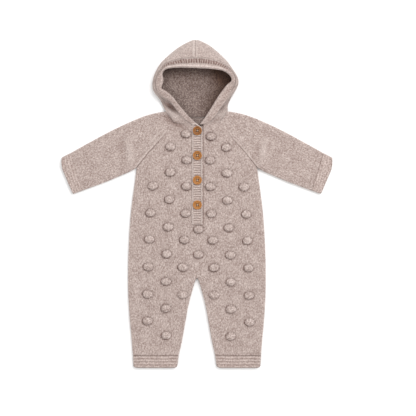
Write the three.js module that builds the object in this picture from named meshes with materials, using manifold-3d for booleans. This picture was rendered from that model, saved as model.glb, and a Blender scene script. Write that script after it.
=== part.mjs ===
// A baby's hooded knitted romper, buttoned and laid flat on its back.
// Units are millimetres. +Z is up from the surface, +Y points from the legs to the hood, and +X is to the
// right as the garment is looked down on. The origin is on the surface, at the middle of the outline.
// Every panel is a wall of knitted cloth. Panels that are sewn together lie a small seam gap apart.

import * as THREE from "three";
import { mergeVertices } from "three/addons/utils/BufferGeometryUtils.js";
import Module from "manifold-3d";

const wasm = await Module();
wasm.setup();

// Cloth and the flat stack of front over back
const WALL = 2.8; // thickness of the knit
const SEAM = 0.3; // gap between sewn pieces
const SLACK = 3.0; // loose height between the front and the back
const LOFT = 2 * WALL + SLACK; // height of the flat garment
const MID = LOFT / 2; // height of the side seams
const ROLL = (LOFT - SEAM) / 2; // radius of an edge that rolls down to its seam
const FOLD = LOFT / 2; // radius of a folded edge
const RAGLAN_GAP = 0.75 * SEAM; // each side's share of the slanted raglan seam, measured along X
const PUFF = 0.8; // how much the middle of the front rises

// Bands
const RIB_PITCH = 4.8; // one knit and one purl row of the placket's ribbing
const RIB_RISE = 0.5; // ribs stand this far out
const CUFF_RISE = 0.6; // garter ridges of the cuffs
const SLEEVE_RIDGES = 3;
const LEG_RIDGES = 4;
const HEM_Y = -328; // lower edge of the leg cuffs
const LEG_CUFF_Y = -303.6; // seam of the leg cuffs

// Button placket
const PLACKET = { left: -8, right: 12.6, bottom: -41, top: 158.4, border: 2.5 };
const UNDER = { left: -6.5, right: 16, bottom: -39, top: 156 };
const BUTTONS = { count: 4, x: 1.4, topY: 146, pitch: 49.4 };
const BUTTON = { sides: 20, hole: 1.15, holeSpacing: 3.6, holeSides: 8 };
const BUTTON_PROFILE = [
  { radius: 0, height: 0 },
  { radius: 8.1, height: 0 },
  { radius: 9.1, height: 1.1 },
  { radius: 9.1, height: 2.7 },
  { radius: 8.3, height: 3.6 },
  { radius: 7.2, height: 3.6 },
  { radius: 6.2, height: 2.7 },
  { radius: 0, height: 2.7 },
];

// Bobbles knitted into the front, in rows mirrored about a line. inner and outer are distances from the
// line, and middleY is the height of one on the line.
const BOBBLE = { halfWidth: 9.3, halfHeight: 8, sides: 10, tilt: -0.014, line: 3.2 };
const BOBBLE_PROFILE = [
  { radius: 0, height: -1.7 },
  { radius: 0.78, height: -1.7 },
  { radius: 1, height: 1.8 },
  { radius: 0.76, height: 4.5 },
  { radius: 0, height: 5.6 },
];
const BOBBLE_ROWS = [
  { y: 137, inner: 25.8 },
  { y: 113.7, inner: 56 },
  { y: 87.7, inner: 23.2 },
  { y: 62.5, inner: 56.6 },
  { y: 35, inner: 24, outer: 91.2 },
  { y: 8, inner: 58.1 },
  { y: -19, inner: 25.8, outer: 96 },
  { y: -47, inner: 60.8, middleY: -50.4 },
  { y: -72, inner: 28.4, outer: 97.9 },
  { y: -101, inner: 63.6, middleY: -101 },
  { y: -127, inner: 31, outer: 100.3 },
  { y: -155.5, inner: 64.8 },
  { y: -181.5, inner: 31.3, outer: 101.4 },
  { y: -209.5, inner: 65 },
  { y: -235, inner: 102.2 },
  { y: -263.5, inner: 64.5 },
];

// Half of the body and one leg, from the cuff seam up to the armhole. outer is the side seam's distance
// from the middle, and inner is half of the gap between the legs.
const BODY = [
  { y: -303.2, outer: 128, inner: 37.2 },
  { y: -276, outer: 130.2, inner: 31 },
  { y: -240, outer: 133.6, inner: 24.4 },
  { y: -204, outer: 136.4, inner: 17.2 },
  { y: -176, outer: 137.6, inner: 10 },
  { y: -158, outer: 138, inner: 4.6 },
  { y: -150, outer: 138, inner: 1.6 },
  { y: -140, outer: 138, inner: 2.4 },
  { y: -108, outer: 137.4, inner: 4 },
  { y: -72, outer: 136, inner: 6 },
  { y: -41.3, outer: 134.2, inner: 8 },
  { y: 0, outer: 130.4, inner: 8 },
  { y: 40, outer: 125, inner: 8 },
];
const CROTCH_Y = -150;

// Raglan seams on the right half, from the armhole to the neck. roll is 1 where the edge rolls down to
// the side seam and 0 where it lies level.
const RAGLAN = [
  { x: 121.2, y: 70.4, roll: 1 },
  { x: 117, y: 76.6, roll: 0.45 },
  { x: 111, y: 84.8, roll: 0 },
  { x: 97.6, y: 102, roll: 0 },
  { x: 78, y: 123.6, roll: 0 },
  { x: 61, y: 142.8, roll: 0 },
  { x: 46.2, y: 163.3, roll: 0 },
];
const BACK_RAGLAN = [
  { x: 121.2, y: 70.4, roll: 1 },
  { x: 116.6, y: 77.2, roll: 0.45 },
  { x: 110, y: 86.2, roll: 0 },
  { x: 96, y: 105.4, roll: 0 },
  { x: 76, y: 129.4, roll: 0 },
  { x: 59, y: 151.2, roll: 0 },
  { x: 44, y: 175.4, roll: 0 },
];
const FRONT_NECK = { x: 8, y: 158.7, slope: 0.12 }; // the front neckline rises away from the placket
const BACK_NECK_Y = 172.4; // back neckline at the middle

// Sleeve on the right: the folded top edge and the underarm, from the cuff seam to the armhole, and then
// the top edge alone, which pairs with the raglan rows.
const SLEEVE_TUBE = [
  { topX: 252.4, topY: 102.4, lowX: 229.6, lowY: 27 },
  { topX: 232, topY: 114, lowX: 205.5, lowY: 35.8 },
  { topX: 210, topY: 126, lowX: 180.5, lowY: 45.2 },
  { topX: 187, topY: 138.6, lowX: 156, lowY: 54.6 },
  { topX: 165, topY: 149.8, lowX: 136, lowY: 63.4 },
];
const SLEEVE_TOP = [
  { x: 147, y: 158.4 },
  { x: 140.6, y: 161.4 },
  { x: 132, y: 165.2 },
  { x: 117, y: 171.6 },
  { x: 100.6, y: 177.4 },
  { x: 82.4, y: 182.2 },
  { x: 62, y: 185.6 },
];
const SLEEVE_CUFF = [
  { topX: 252.7, topY: 102.2, lowX: 229.9, lowY: 26.8 },
  { topX: 271.6, topY: 92.6, lowX: 248.6, lowY: 20.2 },
];
// How far the sleeve cuff's end stands out from a straight line, from its low edge to its folded top
const CUFF_END = [
  { across: 0, bow: 0 },
  { across: 0.73, bow: 6 },
  { across: 1, bow: 0 },
];
const LEG_CUFF = [
  { topX: 128, topY: LEG_CUFF_Y, lowX: 37.4, lowY: LEG_CUFF_Y },
  { topX: 126, topY: HEM_Y, lowX: 41, lowY: HEM_Y },
];

// Soft folds that lie across the sleeve above the armhole: where along the tube, width and rise
const SLEEVE_FOLDS = [
  { station: 4, width: 0.4, rise: -0.7 },
  { station: 5, width: 0.4, rise: 1 },
];

// Hood, from the neck to the crown. edge is the free edge of the ribbed band, seam is where the band is
// sewn on, out is the outline where the cloth turns under, and spine is the seam down the back.
const HOOD_X = -3; // the hood lies a little to the left
const HOOD_HEIGHTS = [
  { edge: 9.8, seam: 8.6, out: 4.3, spine: 173.6 },
  { edge: 12.5, seam: 11, out: 6, spine: 185 },
  { edge: 16.5, seam: 14, out: 7.5, spine: 198 },
  { edge: 20.5, seam: 17, out: 8.5, spine: 211 },
  { edge: 23.5, seam: 19.5, out: 9, spine: 225 },
  { edge: 25.5, seam: 21.5, out: 9, spine: 239 },
  { edge: 26.5, seam: 23, out: 9, spine: 254 },
  { edge: 27, seam: 24.5, out: 9, spine: 269 },
  { edge: 27, seam: 25.5, out: 9, spine: 285 },
  { edge: 27, seam: 26, out: 9, spine: 302 },
  { edge: 27, seam: 26, out: 9, spine: 318 },
];
const HOOD_RIGHT = [
  { edgeX: 6, edgeY: 162.2, seamX: 24, seamY: 161.1, outX: 61.8, outY: 186, dip: 0 },
  { edgeX: 19, edgeY: 177, seamX: 33, seamY: 170.5, outX: 64.5, outY: 197, dip: 1.5 },
  { edgeX: 33, edgeY: 199, seamX: 47, seamY: 190, outX: 67, outY: 207, dip: 3 },
  { edgeX: 46, edgeY: 218.6, seamX: 61, seamY: 210, outX: 71, outY: 217, dip: 2 },
  { edgeX: 59, edgeY: 235, seamX: 70.5, seamY: 227.5, outX: 77, outY: 228, dip: 0 },
  { edgeX: 69.5, edgeY: 244.5, seamX: 77, seamY: 242, outX: 83, outY: 240.5, dip: 0 },
  { edgeX: 66.5, edgeY: 254.5, seamX: 74.5, seamY: 256.5, outX: 81.5, outY: 253, dip: 0 },
  { edgeX: 56, edgeY: 262.5, seamX: 64.5, seamY: 270.5, outX: 73, outY: 271.5, dip: 0 },
  { edgeX: 43, edgeY: 266, seamX: 49, seamY: 282.5, outX: 58, outY: 291, dip: 0 },
  { edgeX: 20, edgeY: 268.5, seamX: 25, seamY: 289.5, outX: 31, outY: 312, dip: 0 },
  { edgeX: -2.85, edgeY: 269.5, seamX: -2.85, seamY: 291, outX: -2.85, outY: 328, dip: 0 },
];
const HOOD_LEFT = [
  { edgeX: -5, edgeY: 163.4, seamX: -20, seamY: 160.7, outX: -61.8, outY: 186, dip: 0 },
  { edgeX: -18, edgeY: 177, seamX: -30, seamY: 170, outX: -66, outY: 196, dip: 3 },
  { edgeX: -34, edgeY: 195, seamX: -42, seamY: 184, outX: -70, outY: 205, dip: 6 },
  { edgeX: -49, edgeY: 213.5, seamX: -56.5, seamY: 202, outX: -76, outY: 214, dip: 5.5 },
  { edgeX: -62, edgeY: 224.5, seamX: -71.5, seamY: 213.5, outX: -82.5, outY: 221.5, dip: 2 },
  { edgeX: -70.5, edgeY: 229, seamX: -80.5, seamY: 228.5, outX: -87, outY: 231, dip: 0 },
  { edgeX: -66.5, edgeY: 245, seamX: -81, seamY: 247, outX: -88.5, outY: 246, dip: 0 },
  { edgeX: -68.5, edgeY: 258.5, seamX: -75, seamY: 265.5, outX: -82, outY: 267, dip: 0 },
  { edgeX: -60, edgeY: 267.5, seamX: -62.5, seamY: 280.5, outX: -69.5, outY: 287.5, dip: 0 },
  { edgeX: -35, edgeY: 270.5, seamX: -36, seamY: 288.5, outX: -41, outY: 310.5, dip: 0 },
  { edgeX: -3.15, edgeY: 269.5, seamX: -3.15, seamY: 291, outX: -3.15, outY: 328, dip: 0 },
];
const HOOD_ROWS = 17; // rows of points from the neck to the crown
const RIBS_PER_ROW = 2.5; // ribs of the hood band between two of the hood's rows
const TURN = 8; // how far in from the outline the cloth meets the surface
const BAND_CROWN = 1.4; // how much the middle of the band stands above its edges
const DIP_SHAPE = [0, 0.6, 1, 0.4, 0, 0, 0]; // share of a row's dip at each step out from the band seam

// Steps of the grids
const EDGE_STEPS = 2; // round a rolled or folded edge
const PANEL_STEPS = 4; // across the flat part of half a panel, or of a sleeve
const CUFF_STEPS = 3; // across the flat part of a cuff
const BAND_STEPS = 3; // across the hood band
const HOOD_UPPER = 6; // from the band seam to the outline
const HOOD_UNDER = 2; // round the turn under the outline
const HOOD_BACK = 3; // from there to the spine

const COLOURS = { knit: 0xc3b0a8, rib: 0xbda89f, wood: 0xb9773a };

const point = (x, y, z) => new THREE.Vector3(x, y, z);
const mix = (a, b, t) => a + (b - a) * t;
const clamp = (value, low, high) => Math.min(high, Math.max(low, value));
const QUARTER = Math.PI / 2;
const UP = point(0, 0, 1);
const DOWN = point(0, 0, -1);
const TOUCH = 0.01; // what lies this low rests on the surface
const WELD = 1e-3; // points this close are one

// A closed wall of cloth under a grid of points on its outer face, which looks along rows x columns. Rows
// wrap into a ring when ring is true, present says which cells hold cloth, relief moves an outer point
// along its normal, and aim turns a normal, as at a seam, where two walls stand side by side. A point
// may carry an aim of its own. What rests on the surface looks straight down.
function clothWall(rows, { ring = false, present = () => true, relief = () => 0, aim } = {}) {
  const count = rows.length;
  const across = rows[0].length;
  const at = (i, j) => rows[clamp(i, 0, count - 1)][ring ? (j + across) % across : clamp(j, 0, across - 1)];
  const outer = [];
  const inner = [];
  for (let i = 0; i < count; i++) {
    for (let j = 0; j < across; j++) {
      const along = at(i + 1, j).clone().sub(at(i - 1, j));
      const sideways = at(i, j + 1).clone().sub(at(i, j - 1));
      let normal = along.cross(sideways).normalize();
      if (aim) normal = aim(i, j, normal);
      if (at(i, j).aim) normal = at(i, j).aim;
      if (at(i, j).z < TOUCH) normal = DOWN;
      outer.push(at(i, j).clone().addScaledVector(normal, relief(i, j)));
      inner.push(at(i, j).clone().addScaledVector(normal, -WALL));
    }
  }
  const cells = ring ? across : across - 1;
  const holds = (i, j) => {
    const column = ring ? (j + across) % across : j;
    return i >= 0 && i < count - 1 && column >= 0 && column < cells && present(i, column);
  };
  const faces = [];
  const quad = (a, b, c, d) => faces.push(a, b, c, a, c, d);
  const rim = (p, q) => quad(outer[q], outer[p], inner[p], inner[q]);
  for (let i = 0; i < count - 1; i++) {
    for (let j = 0; j < cells; j++) {
      if (!holds(i, j)) continue;
      const next = (j + 1) % across;
      const [a, b, c, d] = [i * across + j, i * across + next, (i + 1) * across + next, (i + 1) * across + j];
      quad(outer[a], outer[d], outer[c], outer[b]);
      quad(inner[a], inner[b], inner[c], inner[d]);
      if (!holds(i, j - 1)) rim(a, d);
      if (!holds(i + 1, j)) rim(d, c);
      if (!holds(i, j + 1)) rim(c, b);
      if (!holds(i - 1, j)) rim(b, a);
    }
  }
  return new THREE.BufferGeometry().setFromPoints(faces);
}

// Turns a geometry's faces over, as a mirrored copy or a grid that runs the other way needs.
function turnedOver(geometry) {
  const p = geometry.attributes.position;
  for (let i = 0; i < p.count; i += 3) {
    const swap = point(p.getX(i), p.getY(i), p.getZ(i));
    p.setXYZ(i, p.getX(i + 1), p.getY(i + 1), p.getZ(i + 1));
    p.setXYZ(i + 1, swap.x, swap.y, swap.z);
  }
  return geometry;
}

const mirrored = (geometry) => turnedOver(geometry.clone().scale(-1, 1, 1));
const backwards = (rows) => rows.map((row) => [...row].reverse());

// Rows of points resampled along smooth curves through each column.
function smoothRows(rows, count) {
  const curves = rows[0].map((_, j) => new THREE.CatmullRomCurve3(rows.map((row) => row[j])));
  return Array.from({ length: count }, (_, i) => curves.map((curve) => curve.getPoint(i / (count - 1))));
}

function solid(geometry) {
  const bare = geometry.clone();
  bare.deleteAttribute("normal");
  bare.deleteAttribute("uv");
  const merged = mergeVertices(bare, WELD);
  const mesh = new wasm.Mesh({
    numProp: 3,
    vertProperties: merged.attributes.position.array,
    triVerts: new Uint32Array(merged.index.array),
  });
  return new wasm.Manifold(mesh);
}

function geometryOf(manifold) {
  const mesh = manifold.getMesh();
  const geometry = new THREE.BufferGeometry();
  geometry.setAttribute("position", new THREE.BufferAttribute(mesh.vertProperties, mesh.numProp));
  geometry.setIndex(new THREE.BufferAttribute(mesh.triVerts, 1));
  return geometry.toNonIndexed();
}

// Front and back

const frontNeckY = (x) => FRONT_NECK.y + (Math.abs(x) - FRONT_NECK.x) * FRONT_NECK.slope;
const backNeckY = (x) => mix(BACK_NECK_Y, BACK_RAGLAN.at(-1).y, Math.abs(x) / BACK_RAGLAN.at(-1).x);

// How high the middle of the front stands above its edges.
function puff(x, y, halfWidth) {
  const sideways = Math.cos(clamp(x / halfWidth, -1, 1) * QUARTER);
  const lengthways = clamp((y - HEM_Y) / 60, 0, 1);
  return PUFF * sideways * lengthways;
}

// Distances from the middle across half a panel, from the side seam inwards, each with how far it drops.
// lean is 1 where an edge looks away from the middle, -1 where it looks at it and 0 where it looks up.
function halfSection(outer, inner, rollOuter, rollInner) {
  const edge = (k, roll) => {
    const angle = (k / EDGE_STEPS) * QUARTER;
    return { inset: ROLL * (1 - Math.cos(angle)), drop: ROLL * (1 - Math.sin(angle)) * roll };
  };
  const section = [];
  for (let k = 0; k <= EDGE_STEPS; k++) {
    const { inset, drop } = edge(k, rollOuter);
    section.push({ x: outer - inset, drop, lean: k === 0 ? rollOuter : undefined });
  }
  for (let k = 1; k < PANEL_STEPS; k++) {
    section.push({ x: mix(outer - ROLL, inner + ROLL, k / PANEL_STEPS), drop: 0 });
  }
  for (let k = EDGE_STEPS; k >= 0; k--) {
    const { inset, drop } = edge(k, rollInner);
    section.push({ x: inner + inset, drop, lean: k === 0 ? -rollInner : undefined });
  }
  return section;
}

// The rows of a panel, from the leg cuffs to the neck. The raglan's own gap is taken off its half width.
function panelRows(raglan) {
  const armhole = raglan.map(({ x, y, roll }) => ({ y, outer: x - RAGLAN_GAP, inner: PLACKET.right, roll }));
  const body = BODY.map((row) => ({ ...row, roll: 1 }));
  return [...body, ...armhole].map(({ y, outer, inner, roll }, i, all) => {
    const section = halfSection(outer, inner, roll, y <= CROTCH_Y ? 1 : 0);
    return { y, section, outer, top: i === all.length - 1 };
  });
}

// The grid of a panel, with columns from its left side seam to its right one. up is the way it looks.
function panelGrid(raglan, neckY, { height, strip, up }) {
  return panelRows(raglan).map(({ y, section, top, outer }) => {
    const lay = (side) => section.map(({ x: distance, drop, lean }) => {
      const x = side * strip(distance, y, section, side);
      const at = point(x, top ? neckY(x) : y, height(x, y, drop, outer));
      if (lean !== undefined) at.aim = point(side * lean, 0, up * (1 - Math.abs(lean))).normalize();
      return at;
    });
    return [...lay(-1), ...lay(1).reverse()];
  });
}

// The columns beside the middle gap move to the placket's two edges above the crotch.
function besidePlacket(x, y, section, side) {
  const inner = section.at(-1).x;
  const outer = section[0].x;
  const edge = (side > 0 ? PLACKET.right : -PLACKET.left) + SEAM;
  const reach = clamp((y - CROTCH_Y) / (PLACKET.bottom - SEAM - CROTCH_Y), 0, 1);
  return mix(mix(inner, edge, reach), outer, (x - inner) / (outer - inner));
}

const MIDDLE_CELL = EDGE_STEPS * 2 + PANEL_STEPS; // the cell between the two halves
const legCells = (rows) => (i, j) => j !== MIDDLE_CELL || rows[i + 1][0].y > CROTCH_Y;
const frontCells = (rows) => (i, j) =>
  j !== MIDDLE_CELL || (rows[i + 1][0].y > CROTCH_Y && rows[i][0].y < PLACKET.bottom - 1);

function frontPanel() {
  const height = (x, y, drop, outer) => LOFT - drop + (drop > 0 ? 0 : puff(x, y, outer));
  const grid = panelGrid(RAGLAN, frontNeckY, { height, strip: besidePlacket, up: 1 });
  let front = solid(clothWall(backwards(grid), { present: frontCells(grid) }));
  for (const { x, y } of bobblePlaces()) front = front.add(solid(bobble(x, y)));
  return geometryOf(front);
}

function backPanel() {
  const height = (x, y, drop) => drop;
  const grid = panelGrid(BACK_RAGLAN, backNeckY, { height, strip: (x) => x, up: -1 });
  return clothWall(grid, { present: legCells(grid) });
}

function bobblePlaces() {
  const places = [];
  for (const { y, inner, outer, middleY } of BOBBLE_ROWS) {
    const offsets = [inner, -inner];
    if (outer) offsets.push(outer, -outer);
    for (const offset of offsets) places.push({ x: BOBBLE.line + offset, y: y + BOBBLE.tilt * offset });
    if (middleY) places.push({ x: BOBBLE.line, y: middleY });
  }
  return places;
}

function turned(profile, sides) {
  const points = profile.map(({ radius, height }) => new THREE.Vector2(radius, height));
  return new THREE.LatheGeometry(points, sides).rotateX(QUARTER);
}

// A bobble is a low knob with its widest part a little above the cloth.
function bobble(x, y) {
  const knob = turned(BOBBLE_PROFILE, BOBBLE.sides);
  knob.scale(BOBBLE.halfWidth, BOBBLE.halfHeight, 1);
  knob.translate(x, y, LOFT + puff(x, y, BODY[0].outer));
  return knob;
}

// Sleeves and cuffs

// A flattened tube's section from the low edge of its front, over the folded top, to the low edge of its
// back. open leaves a seam at the low edge, and otherwise the section is a whole ring. roll says how far
// the low edge comes down to its seam.
function flatSection(top, lowFront, lowBack, { open = true, roll = 1, steps = PANEL_STEPS } = {}) {
  const radius = open ? ROLL : FOLD;
  const layer = (low, side) => {
    const width = top.distanceTo(low);
    const way = top.clone().sub(low).normalize();
    const lay = (s, rise) => {
      const at = low.clone().addScaledVector(way, s);
      return point(at.x, at.y, MID + side * rise);
    };
    const edge = [];
    for (let k = open ? 0 : 1; k <= EDGE_STEPS; k++) {
      const angle = (k / EDGE_STEPS) * QUARTER;
      edge.push(lay(radius * (1 - Math.cos(angle)), FOLD - radius * (1 - Math.sin(angle)) * roll));
    }
    if (open) {
      const outwards = way.clone().multiplyScalar(-roll);
      edge[0].aim = outwards.addScaledVector(UP, side * (1 - roll)).normalize();
    }
    for (let k = 1; k <= steps; k++) edge.push(lay(mix(radius, width - FOLD, k / steps), FOLD));
    for (let k = EDGE_STEPS - 1; k > 0; k--) {
      const angle = (k / EDGE_STEPS) * QUARTER;
      edge.push(lay(width - FOLD * (1 - Math.cos(angle)), FOLD * Math.sin(angle)));
    }
    return edge;
  };
  const fold = point(top.x, top.y, MID);
  const section = [...layer(lowFront, 1), fold, ...layer(lowBack, -1).reverse()];
  if (!open) section.push(point(lowBack.x, lowBack.y, MID));
  return section;
}

const flat = (x, y) => point(x, y, 0);

function sleeve() {
  const tube = SLEEVE_TUBE.map(({ topX, topY, lowX, lowY }) => {
    return flatSection(flat(topX, topY), flat(lowX, lowY), flat(lowX, lowY));
  });
  const shoulder = RAGLAN.map(({ x, y, roll }, i) => {
    const top = SLEEVE_TOP[i];
    const back = BACK_RAGLAN[i];
    const front = flat(x + RAGLAN_GAP, y);
    return flatSection(flat(top.x, top.y), front, flat(back.x + RAGLAN_GAP, back.y), { roll });
  });
  const rows = [...tube, ...shoulder];
  const relief = (i, j) => {
    if (rows[i][j].z < LOFT - TOUCH) return 0;
    return SLEEVE_FOLDS.reduce((sum, fold) => {
      return sum + fold.rise * Math.exp(-(((i - fold.station) / fold.width) ** 2));
    }, 0);
  };
  return clothWall(backwards(rows), { relief: (i, j) => relief(i, rows[i].length - 1 - j) });
}

function cuffBow(across) {
  const k = across < CUFF_END[1].across ? 0 : 1;
  const [from, to] = [CUFF_END[k], CUFF_END[k + 1]];
  return mix(from.bow, to.bow, (across - from.across) / (to.across - from.across));
}

// A cuff is a flat ring with garter ridges on all of it that doesn't rest on the surface. bowed says that
// its end stands out.
function cuff([start, end], ridges, bowed = false) {
  const count = ridges * 2 + 1;
  const along = flat(end.topX - start.topX, end.topY - start.topY).normalize();
  const rows = Array.from({ length: count }, (_, i) => {
    const t = i / (count - 1);
    const top = flat(mix(start.topX, end.topX, t), mix(start.topY, end.topY, t));
    const low = flat(mix(start.lowX, end.lowX, t), mix(start.lowY, end.lowY, t));
    const section = flatSection(top, low, low, { open: false, steps: CUFF_STEPS });
    if (!bowed) return section;
    return section.map((at) => {
      const across = flat(at.x, at.y).distanceTo(low) / top.distanceTo(low);
      return at.addScaledVector(along, t * cuffBow(Math.min(across, 1)));
    });
  });
  const relief = (i, j) => (i % 2 === 1 && rows[i][j].z > MID / 2 ? CUFF_RISE : 0);
  return clothWall(rows, { ring: true, relief });
}

// Placket

// The upper band is a strip with ribs that run across it, between two plain borders.
function upperPlacket() {
  const { left, right, bottom, top, border } = PLACKET;
  const count = Math.round((top - bottom) / RIB_PITCH) * 2 + 1;
  const columns = [right, right - border, left + border, left];
  const rows = Array.from({ length: count }, (_, i) => {
    return columns.map((x) => point(x, mix(bottom, top, i / (count - 1)), LOFT + PUFF));
  });
  const relief = (i, j) => (i % 2 === 1 && j > 0 && j < columns.length - 1 ? RIB_RISE : 0);
  return clothWall(rows, { relief });
}

function underPlacket() {
  const { left, right, bottom, top } = UNDER;
  const height = LOFT + PUFF - WALL - SEAM;
  const strip = new THREE.BoxGeometry(right - left, top - bottom, WALL);
  strip.translate((left + right) / 2, (top + bottom) / 2, height - WALL / 2);
  return strip.toNonIndexed();
}

// A button has four holes in a square and lies on the ribs of the upper band.
function button(number) {
  const { sides, hole, holeSpacing, holeSides } = BUTTON;
  let made = solid(turned(BUTTON_PROFILE, sides));
  for (const x of [-1, 1]) {
    for (const y of [-1, 1]) {
      const drill = new THREE.CylinderGeometry(hole, hole, LOFT, holeSides).rotateX(QUARTER);
      made = made.subtract(solid(drill.translate((x * holeSpacing) / 2, (y * holeSpacing) / 2, 0)));
    }
  }
  const height = LOFT + PUFF + RIB_RISE + SEAM;
  return geometryOf(made).translate(BUTTONS.x, BUTTONS.topY - number * BUTTONS.pitch, height);
}

// Hood

// The neck edge of half of the hood follows the front neckline, the sleeve's end and the back neckline.
function hoodNeck(side, station, spineX) {
  const start = flat(station.seamX, station.seamY);
  const low = flat(side * (RAGLAN.at(-1).x - SEAM), RAGLAN.at(-1).y + SEAM);
  const top = flat(station.outX, station.outY);
  const back = flat(side * (BACK_RAGLAN.at(-1).x - SEAM), BACK_RAGLAN.at(-1).y + 2 * SEAM);
  const spine = flat(spineX, backNeckY(PLACKET.right) + SEAM);
  const lay = (a, b, s, z) => a.clone().lerp(b, s).setZ(z);
  const bend = (a, angle, layer) => {
    const s = 1 - (FOLD * (1 - Math.cos(angle))) / a.distanceTo(top);
    return lay(a, top, s, MID + layer * FOLD * Math.sin(angle));
  };
  return [
    lay(start, low, 0, LOFT),
    lay(start, low, 1 / 2, LOFT),
    lay(start, low, 1, LOFT),
    lay(low, top, 1 / 2, LOFT),
    bend(low, QUARTER, 1),
    bend(low, QUARTER / 2, 1),
    bend(low, 0, 0),
    bend(back, QUARTER / 2, -1),
    bend(back, QUARTER, -1),
    lay(back, spine, 0, 0),
    lay(back, spine, 1 / 2, 0),
    lay(back, spine, 1, 0),
  ];
}

// One row of half of the hood: up and over from the band seam, out to the outline, under, and in to the
// spine. A dip pulls the cloth in under the band.
function hoodRow(station, height, spineX) {
  const seam = point(station.seamX, station.seamY, height.seam);
  const out = point(station.outX, station.outY, height.out);
  const spine = point(spineX, height.spine, 0);
  const row = [];
  for (let k = 0; k <= HOOD_UPPER; k++) {
    const angle = (k / HOOD_UPPER) * QUARTER;
    const s = Math.sin(angle);
    const z = mix(out.z, seam.z, Math.cos(angle)) - station.dip * DIP_SHAPE[k];
    row.push(point(mix(seam.x, out.x, s), mix(seam.y, out.y, s), z));
  }
  const inwards = flat(spine.x - out.x, spine.y - out.y).normalize();
  for (let k = 1; k <= HOOD_UNDER; k++) {
    const angle = (k / HOOD_UNDER) * QUARTER;
    const at = out.clone().addScaledVector(inwards, TURN * (1 - Math.cos(angle)));
    row.push(point(at.x, at.y, out.z * (1 - Math.sin(angle))));
  }
  const ground = row.at(-1);
  for (let k = 1; k <= HOOD_BACK; k++) {
    row.push(ground.clone().lerp(spine, k / HOOD_BACK));
  }
  return row;
}

// The grid of half of the hood, with columns from the band seam round to the spine.
function hoodGrid(stations, side) {
  const spineX = HOOD_X + (side * SEAM) / 2;
  const rows = stations.map((station, i) => {
    return i === 0 ? hoodNeck(side, station, spineX) : hoodRow(station, HOOD_HEIGHTS[i], spineX);
  });
  return smoothRows(rows, HOOD_ROWS);
}

// Both sides' walls look outwards once the right side's columns run the other way.
const facing = (rows, side) => (side > 0 ? backwards(rows) : rows);
const fromSeam = (j, columns, side) => (side > 0 ? columns - 1 - j : j);

function hoodHalf(grid, side) {
  const crown = grid.length - 1;
  const aim = (i, j, normal) => {
    if (fromSeam(j, grid[0].length, side) === 0) return UP;
    return i === crown ? normal.setX(0).normalize() : normal;
  };
  return clothWall(facing(grid, side), { aim });
}

// Half of the ribbed band. Its sewn edge follows the hood's edge, and its free edge is its own curve.
function hoodBand(stations, grid, side) {
  const edges = stations.map(({ edgeX, edgeY }, i) => point(edgeX, edgeY, HOOD_HEIGHTS[i].edge));
  const freeEdge = new THREE.CatmullRomCurve3(edges);
  const sewnEdge = grid.map((row, i) => {
    const free = freeEdge.getPoint(i / (grid.length - 1));
    return row[0].clone().add(free.sub(row[0]).setLength(SEAM));
  });
  const count = Math.round((grid.length - 1) * RIBS_PER_ROW * 2) + 1;
  const rows = Array.from({ length: count }, (_, i) => {
    const t = i / (count - 1);
    const place = t * (grid.length - 1);
    const low = Math.min(Math.floor(place), grid.length - 2);
    const sewn = sewnEdge[low].clone().lerp(sewnEdge[low + 1], place - low);
    const free = freeEdge.getPoint(t);
    return Array.from({ length: BAND_STEPS + 1 }, (_, j) => {
      const across = j / BAND_STEPS;
      const at = sewn.clone().lerp(free, across);
      at.z += BAND_CROWN * Math.sin(across * Math.PI);
      return at;
    });
  });
  const last = BAND_STEPS;
  const relief = (i, j) => (i % 2 === 1 && j > 0 && j < last ? RIB_RISE : 0);
  const aim = (i, j, normal) => {
    if (fromSeam(j, last + 1, -side) === 0) return UP;
    return i === count - 1 ? normal.setX(0).normalize() : normal;
  };
  return clothWall(facing(rows, -side), { relief, aim });
}

// Assembly

const romper = new THREE.Group();

function add(name, geometry, colour) {
  geometry.computeVertexNormals();
  const material = new THREE.MeshStandardMaterial({ color: colour, roughness: 0.95, metalness: 0 });
  const mesh = new THREE.Mesh(geometry, material);
  mesh.name = name;
  romper.add(mesh);
}

add("front", frontPanel(), COLOURS.knit);
add("back", backPanel(), COLOURS.knit);
const rightSleeve = sleeve();
add("sleeve_right", rightSleeve, COLOURS.knit);
add("sleeve_left", mirrored(rightSleeve), COLOURS.knit);
const rightCuff = cuff(SLEEVE_CUFF, SLEEVE_RIDGES, true);
add("sleeve_cuff_right", rightCuff, COLOURS.rib);
add("sleeve_cuff_left", mirrored(rightCuff), COLOURS.rib);
const rightLegCuff = cuff(LEG_CUFF, LEG_RIDGES);
add("leg_cuff_right", rightLegCuff, COLOURS.rib);
add("leg_cuff_left", mirrored(rightLegCuff), COLOURS.rib);
add("placket_upper", upperPlacket(), COLOURS.rib);
add("placket_under", underPlacket(), COLOURS.rib);
const rightHood = hoodGrid(HOOD_RIGHT, 1);
const leftHood = hoodGrid(HOOD_LEFT, -1);
add("hood_right", hoodHalf(rightHood, 1), COLOURS.knit);
add("hood_left", hoodHalf(leftHood, -1), COLOURS.knit);
add("hood_band_right", hoodBand(HOOD_RIGHT, rightHood, 1), COLOURS.rib);
add("hood_band_left", hoodBand(HOOD_LEFT, leftHood, -1), COLOURS.rib);
for (let i = 0; i < BUTTONS.count; i++) add("button_" + (i + 1), button(i), COLOURS.wood);

export default romper;
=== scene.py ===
# A knitted hooded baby romper that lies flat on a pale floor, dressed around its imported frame.
# Tables are in millimetres, in the frame's own axes: +X to the right, +Y to the hood and +Z up.

import math
import random
from bisect import bisect_right
from collections import namedtuple
from functools import partial

import bmesh
import bpy
from bpy.props import FloatProperty, FloatVectorProperty, PointerProperty
from mathutils import Matrix, Vector, noise


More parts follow.
